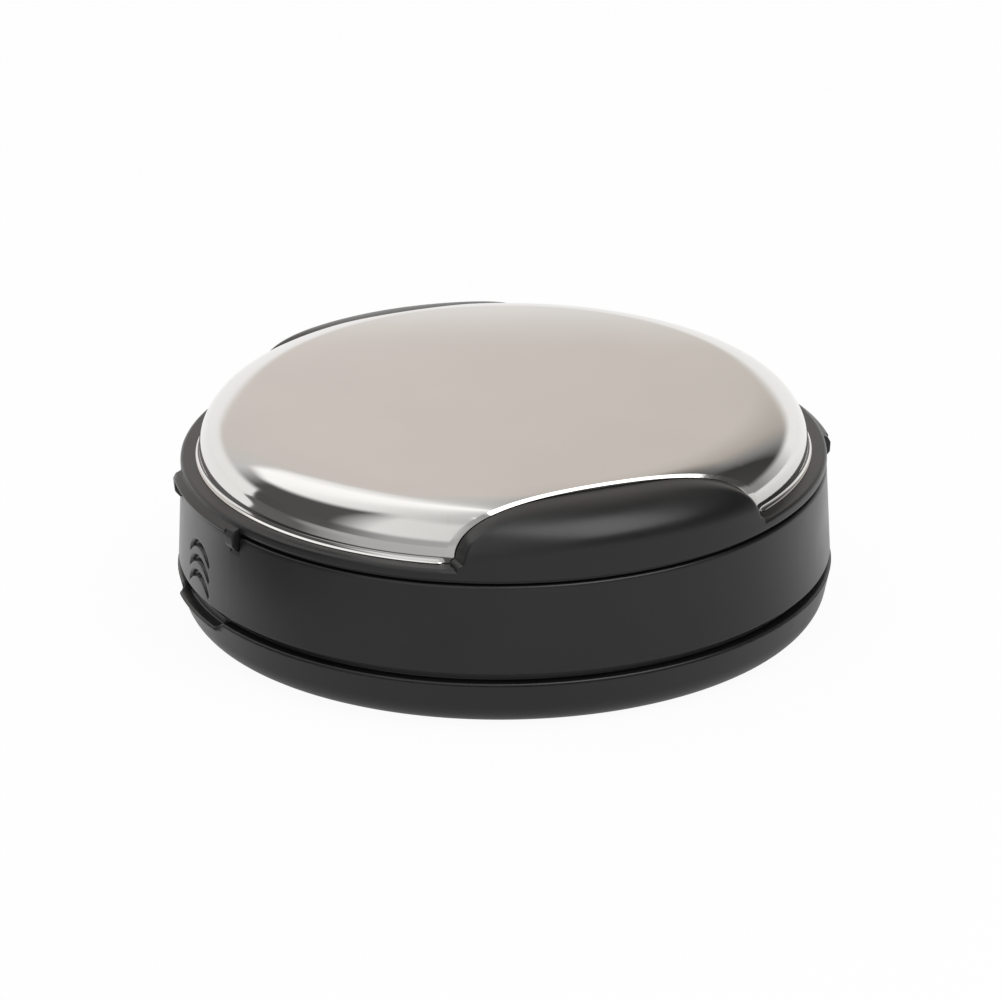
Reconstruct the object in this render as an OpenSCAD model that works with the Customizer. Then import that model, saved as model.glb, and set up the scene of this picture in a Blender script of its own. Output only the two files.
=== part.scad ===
// Pocket stamp: a flat round hand stamp that inks itself from a pad in its base cover.
// Z is up, the base cover stands on z = 0, and the front cut-out of the steel cap faces -Y.

/* [Base cover] */
// Width from the edge of the rubber die out to the rim of the base cover
rim_band = 9; // [8.4:0.1:12]
// Height of the base cover up to its rim
base_h = 4.35; // [4:0.05:5.5]
// Thickness of the base cover's floor
base_floor = 1.3; // [0.9:0.1:1.6]
// Radius of the rounded edge under the base cover
base_edge_r = 2.6; // [1.8:0.1:3.2]
// Lean of the base cover's side wall, in degrees
base_lean = 12; // [4:1:16]
// Wall of the collar that centres the body ring on the base cover
collar_wall = 1.3; // [0.9:0.1:2]
// Height of the collar inside the body ring
collar_in = 0.95; // [0.6:0.05:1.3]
// Depth of the thumb-nail dips in the rim
nail_dip = 0.55; // [0.3:0.05:1]
// Width of the thumb-nail dips in the rim
nail_w = 10; // [8:0.5:16]
// How far the nail ledges stand out of the base cover's wall
nail_out = 0.4; // [0.3:0.05:0.8]
// Length of the nail ledges along the rim
nail_ledge = 9.2; // [6:0.1:12]

/* [Body ring] */
// Shadow gap between the base cover's rim and the body ring
ring_gap = 0.8; // [0.5:0.05:1.2]
// Height of the body ring
ring_h = 8; // [7.4:0.1:10]
// Wall of the body ring at its top
ring_wall = 1.65; // [1.4:0.05:2]
// How far the body ring's foot stands in from the rim
ring_set_in = 0.15; // [0:0.05:0.5]
// How far the body ring draws in from its foot to its top
ring_draft = 0.35; // [0.1:0.05:0.6]
// Chamfer along the body ring's outer edges
ring_chamfer = 0.22; // [0.1:0.02:0.3]
// Height of the land above the slots that stop the press shell
stop_land = 0.4; // [0.3:0.05:0.6]
// Bead in the bore that the spring frame snaps past
snap_bead = 0.2; // [0.1:0.02:0.25]
// Number of arches pressed into each side of the body ring
arch_count = 3; // [2:1:3]
// Depth of the first arch's crown below the body ring's upper edge
arch_drop = 2.9; // [2.2:0.1:3.2]
// Outer radius of an arch
arch_r = 2.8; // [2.4:0.1:3.4]
// Thickness of an arch at its crown
arch_band = 0.75; // [0.5:0.05:0.9]
// Step from one arch down to the next
arch_step = 1.4; // [1.1:0.05:1.5]
// Depth of the arches
arch_depth = 0.5; // [0.2:0.05:0.6]

/* [Press shell] */
// Seam between the body ring and the press shell
seam = 0.35; // [0.25:0.05:0.5]
// Height of the shell's band below the steel cap
band_h = 0.95; // [0.7:0.05:1.4]
// Rounding of the band's upper edge
band_edge_r = 0.35; // [0.2:0.05:0.5]
// Wall of the shell's dome
shell_wall = 1.4; // [1:0.05:1.7]
// Wall of the skirt that slides in the body ring
skirt_wall = 1.3; // [1:0.05:1.5]
// Width of the ledge outside the steel cap's rim
ledge_w = 1.35; // [1:0.05:1.8]
// Angle that each side lip spans, in degrees
lip_angle = 30; // [20:1:40]
// How far each side lip stands out of the band
lip_out = 0.72; // [0.4:0.02:0.9]
// How far each side lip hangs below the shell's lower edge
lip_drop = 0.15; // [0.1:0.05:0.25]
// Width of the teeth at the ends of a lip
tooth_w = 1.2; // [0.8:0.1:1.6]
// How far the teeth hang below their lip
tooth_drop = 1.4; // [0.9:0.05:1.7]
// Height of the hooks that stop the press shell at the top of its stroke
hook_h = 0.65; // [0.5:0.05:0.8]
// Angle that each hook spans, in degrees
hook_angle = 7; // [5:0.5:9]
// How far the hooks reach into the slots of the body ring
hook_reach = 0.3; // [0.2:0.05:0.45]
// Height of the tongues' upright front above the shell's lower edge
tongue_front = 2.5; // [1.8:0.1:3.2]
// How far the tongues' upper edge lies below the cut edge of the cap
tongue_drop = 0.1; // [0.05:0.05:0.3]

/* [Steel cap] */
// Height of the steel cap from its rim to its crown
cap_h = 5.9; // [5.5:0.1:7]
// Thickness of the steel cap's sheet
cap_wall = 0.4; // [0.3:0.05:0.6]
// Radius of the cap's nearly flat dome
cap_dome_r = 315; // [200:5:500]
// Radius of the soft bend around the dome
cap_bend_r = 6.5; // [5:0.1:8]
// Radius of the shoulder above the cap's side wall
cap_shoulder_r = 4.2; // [3.6:0.1:4.4]
// Slope at which the soft bend meets the shoulder, in degrees
cap_slope = 35; // [28:1:42]
// How far in from the cap's rim its front and rear cuts lie
cap_cut_in = 4.25; // [3.4:0.05:5.5]
// Thickness of the tape that bonds the cap to the shell
tape_t = 0.25; // [0.15:0.05:0.4]
// Margin of the tape inside the cap's cuts
tape_margin = 0.4; // [0.2:0.05:0.8]

/* [Stamp plate] */
// Diameter of the rubber die
die_d = 40; // [36:0.5:40.5]
// Thickness of the rubber die with its relief
die_t = 2.1; // [1.8:0.1:2.4]
// Height of the die's relief
relief_h = 0.8; // [0.5:0.1:1]
// Width of the die's border ring
border_w = 0.8; // [0.5:0.1:1.2]
// Number of bars between the die's rings
bar_count = 24; // [12:2:32]
// Width of a bar
bar_w = 1.1; // [0.6:0.1:1.3]
// Length of a bar
bar_l = 4; // [2:0.2:5]
// Diameter of the die's inner ring
inner_ring_d = 25; // [20:0.5:26]
// How far the die's face stands out below the body ring when pressed
print_proud = 0.3; // [0.1:0.05:0.4]
// Thickness of the foam cushion behind the die
cushion_t = 1.4; // [1:0.1:1.6]
// Thickness of the die holder's plate
holder_t = 1.8; // [1.6:0.1:2]
// Margin of the die holder outside the die
holder_margin = 0.4; // [0.2:0.05:0.5]
// Height of the ribs on the die holder
rib_h = 1.2; // [0.8:0.1:1.6]
// Thickness of the ribs on the die holder
rib_t = 1; // [0.8:0.1:1.4]
// Number of ribs across the die holder
rib_count = 4; // [2:2:6]

/* [Screws] */
// Radius of the circle of the holder's screws
screw_circle_r = 14; // [11:0.5:15]
// Shank radius of the holder's screws
screw_r = 0.9; // [0.7:0.05:1]
// Shank length of the holder's screws
screw_l = 4.4; // [3:0.1:5]
// Head radius of the holder's screws
screw_head_r = 1.7; // [1.4:0.05:1.9]
// Head height of the holder's screws
screw_head_h = 0.9; // [0.7:0.05:1]
// Outer radius of the shell's screw bosses
boss_r = 2.2; // [1.8:0.1:2.6]

/* [Return springs] */
// Wire diameter of the return springs
wire_d = 0.45; // [0.35:0.05:0.5]
// Mean coil radius of the return springs
coil_r = 1.42; // [1.3:0.02:1.46]
// Number of turns of a return spring
spring_turns = 6; // [4:0.5:7]
// Radius of the pins that hold the springs
pin_r = 0.95; // [0.7:0.05:1]
// Height of the pins that hold the springs
pin_h = 5; // [3:0.2:6]
// Thickness of the spring frame's plate
frame_t = 1.1; // [0.8:0.1:1.3]
// Step in the body ring's bore that the spring frame is pushed up to
frame_step = 0.35; // [0.2:0.05:0.5]
// Wall of the cups that hold the upper ends of the springs
cup_wall = 0.6; // [0.4:0.05:0.7]
// Depth of the cups that hold the upper ends of the springs
cup_depth = 2; // [1:0.1:2.2]

/* [Ink pad] */
// Thickness of the ink pad's cloth
cloth_t = 0.55; // [0.4:0.05:0.7]
// Thickness of the tray's floor
tray_floor = 0.7; // [0.5:0.05:0.8]
// Wall of the tray
tray_wall = 1; // [0.7:0.05:1.2]
// How far the pad stands out above the tray's wall
pad_proud = 0.8; // [0.4:0.05:1.1]
// Height of the fence around the tray
fence_h = 1.3; // [0.8:0.1:1.6]
// Thickness of the fence and of the ribs around the tray
fence_t = 0.9; // [0.7:0.05:1.1]
// Number of ribs between the fence and the collar
base_rib_count = 12; // [6:2:16]

/* [Clearances] */
// Clearance between pieces that slide past each other
slide_gap = 0.3; // [0.2:0.02:0.36]
// Clearance where one piece seats on another
seat_gap = 0.05; // [0.02:0.01:0.08]
// Clearance between the die and the ink pad
soft_gap = 0.35; // [0.2:0.05:0.5]

/* [Hidden] */
$fn = 96;
black = [0.13, 0.13, 0.135];
soft_black = [0.17, 0.17, 0.175];
steel = [0.7, 0.71, 0.73];
// Reach of cutting shapes past the faces that they cut
cut = 1;
arc_steps = 10;

die_r = die_d / 2;
rim_r = die_r + rim_band;
rim_d = 2 * rim_r;
ring_foot_r = rim_r - ring_set_in;
ring_top_r = ring_foot_r - ring_draft;
ring_bore_r = ring_top_r - ring_wall;
ring_z0 = base_h + ring_gap;
ring_z1 = ring_z0 + ring_h;
collar_r = ring_bore_r - slide_gap;
collar_z1 = ring_z0 + collar_in;
frame_z0 = collar_z1 + seat_gap;
frame_z1 = frame_z0 + frame_t;
frame_r = ring_bore_r + frame_step - seat_gap;
skirt_z0 = frame_z1 + slide_gap;
hook_z1 = skirt_z0 + hook_h;
slot_z1 = ring_z1 - stop_land;
press_travel = slot_z1 - seat_gap - hook_z1;
echo("stroke of the press shell, mm", press_travel);
shell_z0 = ring_z1 + seam;
ledge_z = shell_z0 + band_h;
cap_r = ring_top_r - ledge_w;
cap_cut_y = cap_r - cap_cut_in;
cap_z0 = ledge_z + seat_gap;
crown_z = cap_z0 + cap_h;

// Offsets of the layers below the cap's outer face
tape_off = cap_wall + seat_gap;
core_off = tape_off + tape_t + seat_gap;
hollow_off = core_off + shell_wall;

die_z0 = ring_z0 - print_proud;
die_z1 = die_z0 + die_t;
cushion_z1 = die_z1 + cushion_t;
holder_z1 = cushion_z1 + holder_t;
holder_r = die_r + holder_margin;
frame_hole_r = holder_r + slide_gap;
coil_out_r = coil_r + wire_d / 2;
spring_circle_r = frame_hole_r + coil_out_r + 2 * seat_gap;
cup_r = coil_out_r + slide_gap;
cup_z0 = ledge_z - seam;
spring_z0 = frame_z1 + seat_gap;
spring_z1 = cup_z0 + cup_depth - seat_gap;
pad_z1 = die_z0 - soft_gap;
cloth_z0 = pad_z1 - cloth_t;
tray_z0 = base_floor + seat_gap;
tray_r = die_r + tray_wall + seat_gap;
tray_z1 = pad_z1 - pad_proud;
felt_z0 = tray_z0 + tray_floor + seat_gap;
fence_r = tray_r + seat_gap;
fence_z1 = base_floor + fence_h;
spring_angles = [45, 135, 225, 315];

// Curve of the steel cap at an offset inside its outer face, from the side wall over the shoulder,
// the soft bend and the dome to the middle. The three arcs share their tangents.
function on_arc(c, r, s) = c + r * [sin(s), cos(s)];
cap_edge_r = (cap_r - cap_bend_r * sin(cap_slope) - cap_shoulder_r * (1 - sin(cap_slope)))
             / (1 - cap_bend_r / cap_dome_r);
cap_edge_slope = asin(cap_edge_r / cap_dome_r);
dome_c = [0, crown_z - cap_dome_r];
bend_c = on_arc(dome_c, cap_dome_r - cap_bend_r, cap_edge_slope);
shoulder_c = on_arc(bend_c, cap_bend_r - cap_shoulder_r, cap_slope);
function slopes(s0, s1) = [for (i = [0 : arc_steps - 1]) s0 + (s1 - s0) * i / arc_steps];
function cap_curve(off) = concat(
    [for (s = slopes(90, cap_slope)) on_arc(shoulder_c, cap_shoulder_r - off, s)],
    [for (s = slopes(cap_slope, cap_edge_slope)) on_arc(bend_c, cap_bend_r - off, s)],
    [for (s = slopes(cap_edge_slope, 0)) on_arc(dome_c, cap_dome_r - off, s)],
    [[0, crown_z - off]]);
function reversed(list) = [for (i = [len(list) - 1 : -1 : 0]) list[i]];

// Ring-shaped solid between two radii and two heights
module tube(r_out, r_in, z0, z1) {
    translate([0, 0, z0])
        difference() {
            cylinder(r = r_out, h = z1 - z0);
            translate([0, 0, -cut])
                cylinder(r = r_in, h = z1 - z0 + 2 * cut);
        }
}

// Solid disc between two heights
module disc(r, z0, z1) {
    translate([0, 0, z0])
        cylinder(r = r, h = z1 - z0);
}

// Turned sector of a profile, centred on +X and repeated on -X
module both_sides(angle) {
    for (turn = [0, 180])
        rotate(turn - angle / 2)
            rotate_extrude(angle = angle)
                children();
}

// Space in front of and behind the cap's cuts, above a height and moved in or out by an offset
module cut_spaces(off, z0) {
    for (side = [-1, 1])
        translate([-rim_r, side > 0 ? cap_cut_y + off : -cap_cut_y - off - rim_r, z0])
            cube([rim_d, rim_r, crown_z + cut - z0]);
}

// Bowl of the base cover: floor, rounded edge, leaning side wall, collar and the fence for the tray
wall_c = [rim_r - tan(base_lean) * (base_h - base_edge_r * (1 - sin(base_lean)))
          - base_edge_r * cos(base_lean), base_edge_r];
bowl_outline = concat([[0, 0]],
    [for (i = [0 : arc_steps])
        let (a = -90 + (90 - base_lean) * i / arc_steps)
            wall_c + base_edge_r * [cos(a), sin(a)]],
    [[rim_r, base_h], [collar_r, base_h], [collar_r, collar_z1], [collar_r - collar_wall, collar_z1],
     [collar_r - collar_wall, base_floor], [fence_r + fence_t, base_floor], [fence_r + fence_t, fence_z1],
     [fence_r, fence_z1], [fence_r, base_floor], [0, base_floor]]);
nail_angle = 2 * asin(nail_ledge / rim_d);
nail_z1 = base_h - nail_dip;
nail_r = rim_r - tan(base_lean) * nail_dip;

module base_cover() color(black) {
    difference() {
        union() {
            rotate_extrude()
                polygon(bowl_outline);
            both_sides(nail_angle)
                polygon([[nail_r - 2 * nail_out, nail_z1 - 2 * nail_out],
                         [nail_r, nail_z1 - 1.5 * nail_out],
                         [nail_r + nail_out, nail_z1 - nail_out / 2],
                         [nail_r + nail_out, nail_z1],
                         [nail_r - 2 * nail_out, nail_z1]]);
        }
        for (turn = [0, 180])
            rotate(turn)
                translate([collar_r + slide_gap, 0, 0])
                    rotate([90, 0, 90])
                        linear_extrude(rim_r)
                            polygon([[-nail_w / 2 - cut, base_h + cut], [nail_dip - nail_w / 2, nail_z1],
                                     [nail_w / 2 - nail_dip, nail_z1], [nail_w / 2 + cut, base_h + cut]]);
    }
    for (i = [0 : base_rib_count - 1])
        rotate((i + 0.5) * 360 / base_rib_count)
            translate([fence_r + fence_t / 2, -fence_t / 2, base_floor / 2])
                cube([collar_r - (collar_wall + fence_t) / 2 - fence_r, fence_t, fence_z1 - base_floor]);
}

module ink_pad_tray() color(soft_black) {
    difference() {
        disc(tray_r, tray_z0, tray_z1);
        disc(die_r, tray_z0 + tray_floor, tray_z1 + cut);
        for (turn = [0, 180])
            rotate(turn)
                translate([die_r - cut, -nail_w / 4, tray_z1 - pad_proud])
                    cube([tray_wall + 2 * cut, nail_w / 2, pad_proud + cut]);
    }
}

module ink_pad_felt() color([0.2, 0.24, 0.42]) {
    disc(die_r - seat_gap, felt_z0, cloth_z0 - seat_gap);
}

module ink_pad_cloth() color([0.12, 0.16, 0.36]) {
    disc(die_r - seat_gap, cloth_z0, pad_z1);
}

// Half section of the body ring with its draft, chamfers and stepped bore
step_r = frame_r + seat_gap;
ring_outline = [[step_r, ring_z0], [ring_foot_r - ring_chamfer, ring_z0],
                [ring_foot_r, ring_z0 + ring_chamfer], [ring_top_r, ring_z1 - ring_chamfer],
                [ring_top_r - ring_chamfer, ring_z1], [ring_bore_r, ring_z1],
                [ring_bore_r, frame_z1 + seat_gap], [step_r, frame_z1 + seat_gap],
                [step_r, frame_z0 - seat_gap], [frame_r - snap_bead, frame_z0 - seat_gap - snap_bead],
                [step_r, frame_z0 - 2 * snap_bead]];
lip_z0 = shell_z0 - lip_drop;
tooth_z0 = lip_z0 - tooth_drop;
tooth_angle = 2 * asin(tooth_w / ring_top_r / 2);
seam_angle = 2 * asin(seam / ring_top_r / 2);
arch_z = ring_z1 - arch_drop - arch_r;

// Crescent of one arch: two circles, the inner one lower, cut off halfway down
module arch_crescent() {
    difference() {
        circle(r = arch_r);
        translate([0, -arch_band])
            circle(r = arch_r);
        translate([-2 * arch_r, -1.5 * arch_r])
            square([4 * arch_r, 2 * arch_r]);
    }
}

module body_ring() color(black) {
    difference() {
        rotate_extrude()
            polygon(ring_outline);
        both_sides(lip_angle + seam_angle)
            translate([ring_bore_r - cut, tooth_z0 - seam / 2])
                square([ring_wall + ring_draft + 2 * cut, ring_z1 + seam - tooth_z0]);
        for (turn = spring_angles)
            rotate(turn - hook_angle / 2 - seam_angle)
                rotate_extrude(angle = hook_angle + 2 * seam_angle)
                    translate([ring_bore_r - cut, frame_z1])
                        square([cut + ring_wall / 2, slot_z1 - frame_z1]);
        for (turn = [0, 180], i = [0 : arch_count - 1])
            rotate(turn)
                translate([ring_top_r - arch_depth, 0, arch_z - i * arch_step])
                    rotate([90, 0, 90])
                        linear_extrude(ring_wall + ring_draft)
                            arch_crescent();
    }
}

module spring_frame() color(soft_black) {
    tube(frame_r, frame_hole_r, frame_z0, frame_z1);
    for (turn = spring_angles)
        rotate(turn)
            translate([spring_circle_r, 0, frame_z0])
                cylinder(r = pin_r, h = frame_t + pin_h);
}

// One return spring: a tube of hexagon section along a helix, with eight rings to a turn
rings_per_turn = 8;
tube_sides = 6;
helix_n = rings_per_turn * spring_turns;
helix_pitch = (spring_z1 - spring_z0 - wire_d) / spring_turns;
function helix_at(i) = [coil_r * cos(360 * i / rings_per_turn), coil_r * sin(360 * i / rings_per_turn),
                        spring_z0 + wire_d / 2 + helix_pitch * i / rings_per_turn];
function helix_ring(i) =
    let (a = 360 * i / rings_per_turn,
         rise = atan(helix_pitch / (2 * PI * coil_r)),
         out = [cos(a), sin(a), 0],
         up = [sin(a) * sin(rise), -cos(a) * sin(rise), cos(rise)])
    [for (k = [0 : tube_sides - 1])
        helix_at(i) + wire_d / 2 * (cos(360 * k / tube_sides) * out + sin(360 * k / tube_sides) * up)];
spring_points = [for (i = [0 : helix_n]) each helix_ring(i)];
spring_faces = concat(
    [for (k = [1 : tube_sides - 2]) [0, k, k + 1]],
    [for (k = [1 : tube_sides - 2]) [for (v = [0, k + 1, k]) helix_n * tube_sides + v]],
    [for (i = [0 : helix_n - 1], k = [0 : tube_sides - 1])
        let (p = i * tube_sides + k, q = i * tube_sides + (k + 1) % tube_sides)
        each [[p, p + tube_sides, q], [q, p + tube_sides, q + tube_sides]]]);
coil_gap = min([for (i = [0 : helix_n], j = [i + rings_per_turn / 2 : helix_n])
    norm(helix_at(i) - helix_at(j))]) - wire_d;
echo("least gap between the turns of a spring, mm", coil_gap);

module return_spring(number) color(steel) {
    rotate(spring_angles[number - 1])
        translate([spring_circle_r, 0, 0])
            polyhedron(points = spring_points, faces = spring_faces);
}

// Half section of the press shell: skirt, band, ledge, dome and the hollow under it
band_edge = [for (i = [0 : arc_steps])
    let (a = 90 * i / arc_steps)
        [ring_top_r - band_edge_r + band_edge_r * cos(a), ledge_z - band_edge_r + band_edge_r * sin(a)]];
skirt_in_r = collar_r - skirt_wall;
hollow_r = cap_r - hollow_off;
web_z0 = ledge_z - shell_wall;
shell_outline = concat([[collar_r, skirt_z0], [collar_r, shell_z0], [ring_top_r, shell_z0]], band_edge,
    [[cap_r - core_off, ledge_z]], cap_curve(core_off), reversed(cap_curve(hollow_off)),
    [[hollow_r, web_z0], [skirt_in_r, web_z0 - abs(skirt_in_r - hollow_r)], [skirt_in_r, skirt_z0]]);
// Tongues that fill the cap's cut-outs: a quarter of an ellipse from the upright front up to the cut edge,
// under an arch that follows the cap's cut edge from end to end
tongue_edge = [for (p = cap_curve(tongue_drop)) if (p[0] > cap_cut_y)
    [sqrt(p[0] * p[0] - cap_cut_y * cap_cut_y), p[1]]];
tongue_end = [tongue_edge[0][0], shell_z0];
tongue_arch = concat([tongue_end], tongue_edge,
    [for (p = reversed(concat([tongue_end], tongue_edge))) [-p[0], p[1]]]);
tongue_z = shell_z0 + tongue_front;
tongue_rise = tongue_edge[len(tongue_edge) - 1][1] - tongue_drop - tongue_z;
tongue_reach = ring_top_r - seat_gap - cap_cut_y;
tongue_section = concat([[cap_cut_y, shell_z0], [cap_cut_y + tongue_reach, shell_z0]],
    [for (i = [0 : 2 * arc_steps])
        let (a = 45 * i / arc_steps)
            [cap_cut_y + tongue_reach * cos(a), tongue_z + tongue_rise * sin(a)]]);

module tongues() {
    intersection() {
        rotate_extrude()
            polygon(tongue_section);
        cut_spaces(2 * seat_gap, shell_z0 + seam);
        translate([0, rim_r, 0])
            rotate([90, 0, 0])
                linear_extrude(rim_d)
                    polygon(tongue_arch);
    }
}

// Cups for the upper ends of the springs, trimmed to the middle of the dome's wall
module spring_cups() {
    intersection() {
        rotate_extrude()
            polygon(concat([[0, skirt_z0], [cap_r - core_off - shell_wall / 2, skirt_z0]],
                           cap_curve(core_off + shell_wall / 2)));
        for (turn = spring_angles)
            rotate(turn)
                translate([spring_circle_r, 0, cup_z0])
                    cylinder(r = cup_r + cup_wall, h = crown_z - cup_z0);
    }
}

// Section of a side lip with its teeth: a flare at the band's lower edge, the teeth hanging into the ring's notch
lip_section = [[ring_bore_r + slide_gap, shell_z0 + seam], [ring_bore_r + slide_gap, tooth_z0],
               [ring_top_r + lip_out / 3, tooth_z0], [ring_top_r + lip_out, tooth_z0 + lip_out / 2],
               [ring_top_r + lip_out, shell_z0 + lip_drop], [ring_top_r - seat_gap, shell_z0 + seam + lip_drop]];

module press_shell() color(black) {
    difference() {
        union() {
            rotate_extrude()
                polygon(shell_outline);
            tongues();
            spring_cups();
            difference() {
                both_sides(lip_angle)
                    polygon(lip_section);
                both_sides(lip_angle - 2 * tooth_angle)
                    translate([ring_bore_r, tooth_z0 - cut])
                        square([ring_wall + lip_out + cut, tooth_drop + cut]);
            }
            for (turn = spring_angles) {
                rotate(turn - hook_angle / 2)
                    rotate_extrude(angle = hook_angle)
                        translate([collar_r - skirt_wall / 2, skirt_z0])
                            square([skirt_wall / 2 + slide_gap + hook_reach, hook_h]);
                rotate(turn)
                    translate([screw_circle_r, 0, holder_z1 + seat_gap])
                        cylinder(r = boss_r, h = crown_z - core_off - shell_wall / 2 - holder_z1);
            }
        }
        for (turn = spring_angles)
            rotate(turn) {
                translate([spring_circle_r, 0, frame_z1])
                    cylinder(r = cup_r, h = cup_z0 + cup_depth - frame_z1);
                translate([screw_circle_r, 0, holder_z1 - cut])
                    cylinder(r = screw_r + seat_gap, h = screw_l);
            }
    }
}

module die_holder() color(soft_black) {
    difference() {
        union() {
            disc(holder_r, cushion_z1 + seat_gap, holder_z1);
            tube(holder_r, holder_r - rib_t, holder_z1 - seat_gap, holder_z1 + rib_h);
            for (i = [0 : rib_count - 1])
                rotate((i + 0.5) * 180 / rib_count)
                    translate([-holder_r + rib_t / 2, -rib_t / 2, holder_z1 - seat_gap])
                        cube([2 * holder_r - rib_t, rib_t, rib_h + seat_gap]);
        }
        for (turn = spring_angles)
            rotate(turn)
                translate([screw_circle_r, 0, cushion_z1]) {
                    cylinder(r = screw_r + seat_gap, h = holder_t + cut);
                    cylinder(r = screw_head_r + seat_gap, h = screw_head_h + 3 * seat_gap);
                }
    }
}

module holder_screws() color(steel) {
    for (turn = spring_angles)
        rotate(turn)
            translate([screw_circle_r, 0, cushion_z1 + 2 * seat_gap])
                difference() {
                    union() {
                        cylinder(r = screw_head_r, h = screw_head_h);
                        cylinder(r = screw_r, h = screw_l);
                    }
                    for (across = [0, 90])
                        rotate(across)
                            translate([-screw_head_r / 2, -screw_r / 4, -cut])
                                cube([screw_head_r, screw_r / 2, cut + screw_head_h / 2]);
                }
}

module die_cushion() color([0.86, 0.84, 0.78]) {
    disc(die_r, die_z1 + seat_gap, cushion_z1);
}

module rubber_die() color([0.62, 0.24, 0.2]) {
    disc(die_r, die_z0 + relief_h, die_z1);
    tube(die_r - border_w / 2, die_r - 1.5 * border_w, die_z0, die_z0 + relief_h + seat_gap);
    tube(inner_ring_d / 2, inner_ring_d / 2 - border_w, die_z0, die_z0 + relief_h + seat_gap);
    for (i = [0 : bar_count - 1])
        rotate(i * 360 / bar_count)
            translate([(die_r - border_w + inner_ring_d / 2) / 2 - bar_l / 2, -bar_w / 2, die_z0])
                cube([bar_l, bar_w, relief_h + seat_gap]);
}

module cap_tape() color([0.9, 0.9, 0.88]) {
    difference() {
        rotate_extrude()
            intersection() {
                polygon(concat([[0, cap_z0]], [[cap_r - tape_off, cap_z0]], cap_curve(tape_off)));
                translate([0, shoulder_c[1]])
                    square([shoulder_c[0], cap_h]);
                polygon(concat(reversed(cap_curve(tape_off + tape_t)),
                               [[cap_r, shoulder_c[1]], [cap_r, crown_z], [0, crown_z]]));
            }
        cut_spaces(-tape_margin, 0);
    }
}

module steel_cap() color(steel) {
    difference() {
        rotate_extrude()
            polygon(concat([[cap_r - cap_wall, cap_z0], [cap_r, cap_z0]], cap_curve(0),
                           reversed(cap_curve(cap_wall))));
        cut_spaces(0, 0);
    }
}

base_cover();
ink_pad_tray();
ink_pad_felt();
ink_pad_cloth();
body_ring();
spring_frame();
return_spring(1);  // return_spring_1
return_spring(2);  // return_spring_2
return_spring(3);  // return_spring_3
return_spring(4);  // return_spring_4
press_shell();
die_holder();
holder_screws();
die_cushion();
rubber_die();
cap_tape();
steel_cap();
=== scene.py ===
"""Pocket stamp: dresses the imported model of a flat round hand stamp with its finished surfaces."""
import math
from types import SimpleNamespace

import bmesh
import bpy
import numpy as np
from bpy.props import FloatProperty, FloatVectorProperty, IntProperty, PointerProperty
from mathutils import Matrix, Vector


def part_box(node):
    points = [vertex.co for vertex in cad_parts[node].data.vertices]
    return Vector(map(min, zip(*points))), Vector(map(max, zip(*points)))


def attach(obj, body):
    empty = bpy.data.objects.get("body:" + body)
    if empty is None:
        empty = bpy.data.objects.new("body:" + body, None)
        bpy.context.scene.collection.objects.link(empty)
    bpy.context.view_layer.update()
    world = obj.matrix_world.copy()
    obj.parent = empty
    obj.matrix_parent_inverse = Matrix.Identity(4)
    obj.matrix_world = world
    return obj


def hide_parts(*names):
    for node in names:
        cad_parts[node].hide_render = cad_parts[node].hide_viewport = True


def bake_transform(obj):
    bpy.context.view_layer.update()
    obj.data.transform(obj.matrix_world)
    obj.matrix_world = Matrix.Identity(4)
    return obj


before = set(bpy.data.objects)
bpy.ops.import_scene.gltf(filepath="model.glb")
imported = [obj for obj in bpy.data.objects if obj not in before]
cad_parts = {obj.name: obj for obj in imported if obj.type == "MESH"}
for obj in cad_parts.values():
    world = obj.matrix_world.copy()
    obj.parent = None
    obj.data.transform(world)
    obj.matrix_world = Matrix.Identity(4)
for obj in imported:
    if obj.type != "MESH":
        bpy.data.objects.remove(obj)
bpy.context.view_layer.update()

bl_info = {
    "name": "Pocket Stamp",
    "version": (1, 0, 0),
    "blender": (4, 5, 0),
    "location": "View3D > Sidebar > Pocket Stamp",
    "description": "Builds the surfaces, finishes and stage of a flat round pocket stamp",
    "category": "Object",
}

MM = 0.001
# Points of one piece that lie this near each other, in millimetres, are one vertex
WELD = 1e-4
# Faces that meet at a wider angle than this keep a hard edge
HARD_EDGE = math.radians(38)
# A corner whose half angle is wider than this counts as straight, in radians
STRAIGHT = 1.55


def linear(code):
    """An sRGB hex colour as linear light, by the sRGB transfer curve."""
    parts = [int(code[i:i + 2], 16) / 255 for i in (1, 3, 5)]
    return tuple(c / 12.92 if c <= 0.04045 else ((c + 0.055) / 1.055) ** 2.4 for c in parts)


def length_property(name, default, description):
    """A length in metres that a user can set."""
    return FloatProperty(name=name, description=description, default=default, unit="LENGTH",
                         subtype="DISTANCE")


def angle_property(name, degrees, description):
    """An angle that a user can set, given in degrees."""
    return FloatProperty(name=name, description=description, default=math.radians(degrees), unit="ROTATION",
                         subtype="ANGLE")


def colour_property(name, code, description):
    """A colour that a user can set, given as an sRGB hex code and kept as linear light."""
    return FloatVectorProperty(name=name, description=description, default=linear(code), size=3,
                               subtype="COLOR", min=0, max=1)


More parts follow.
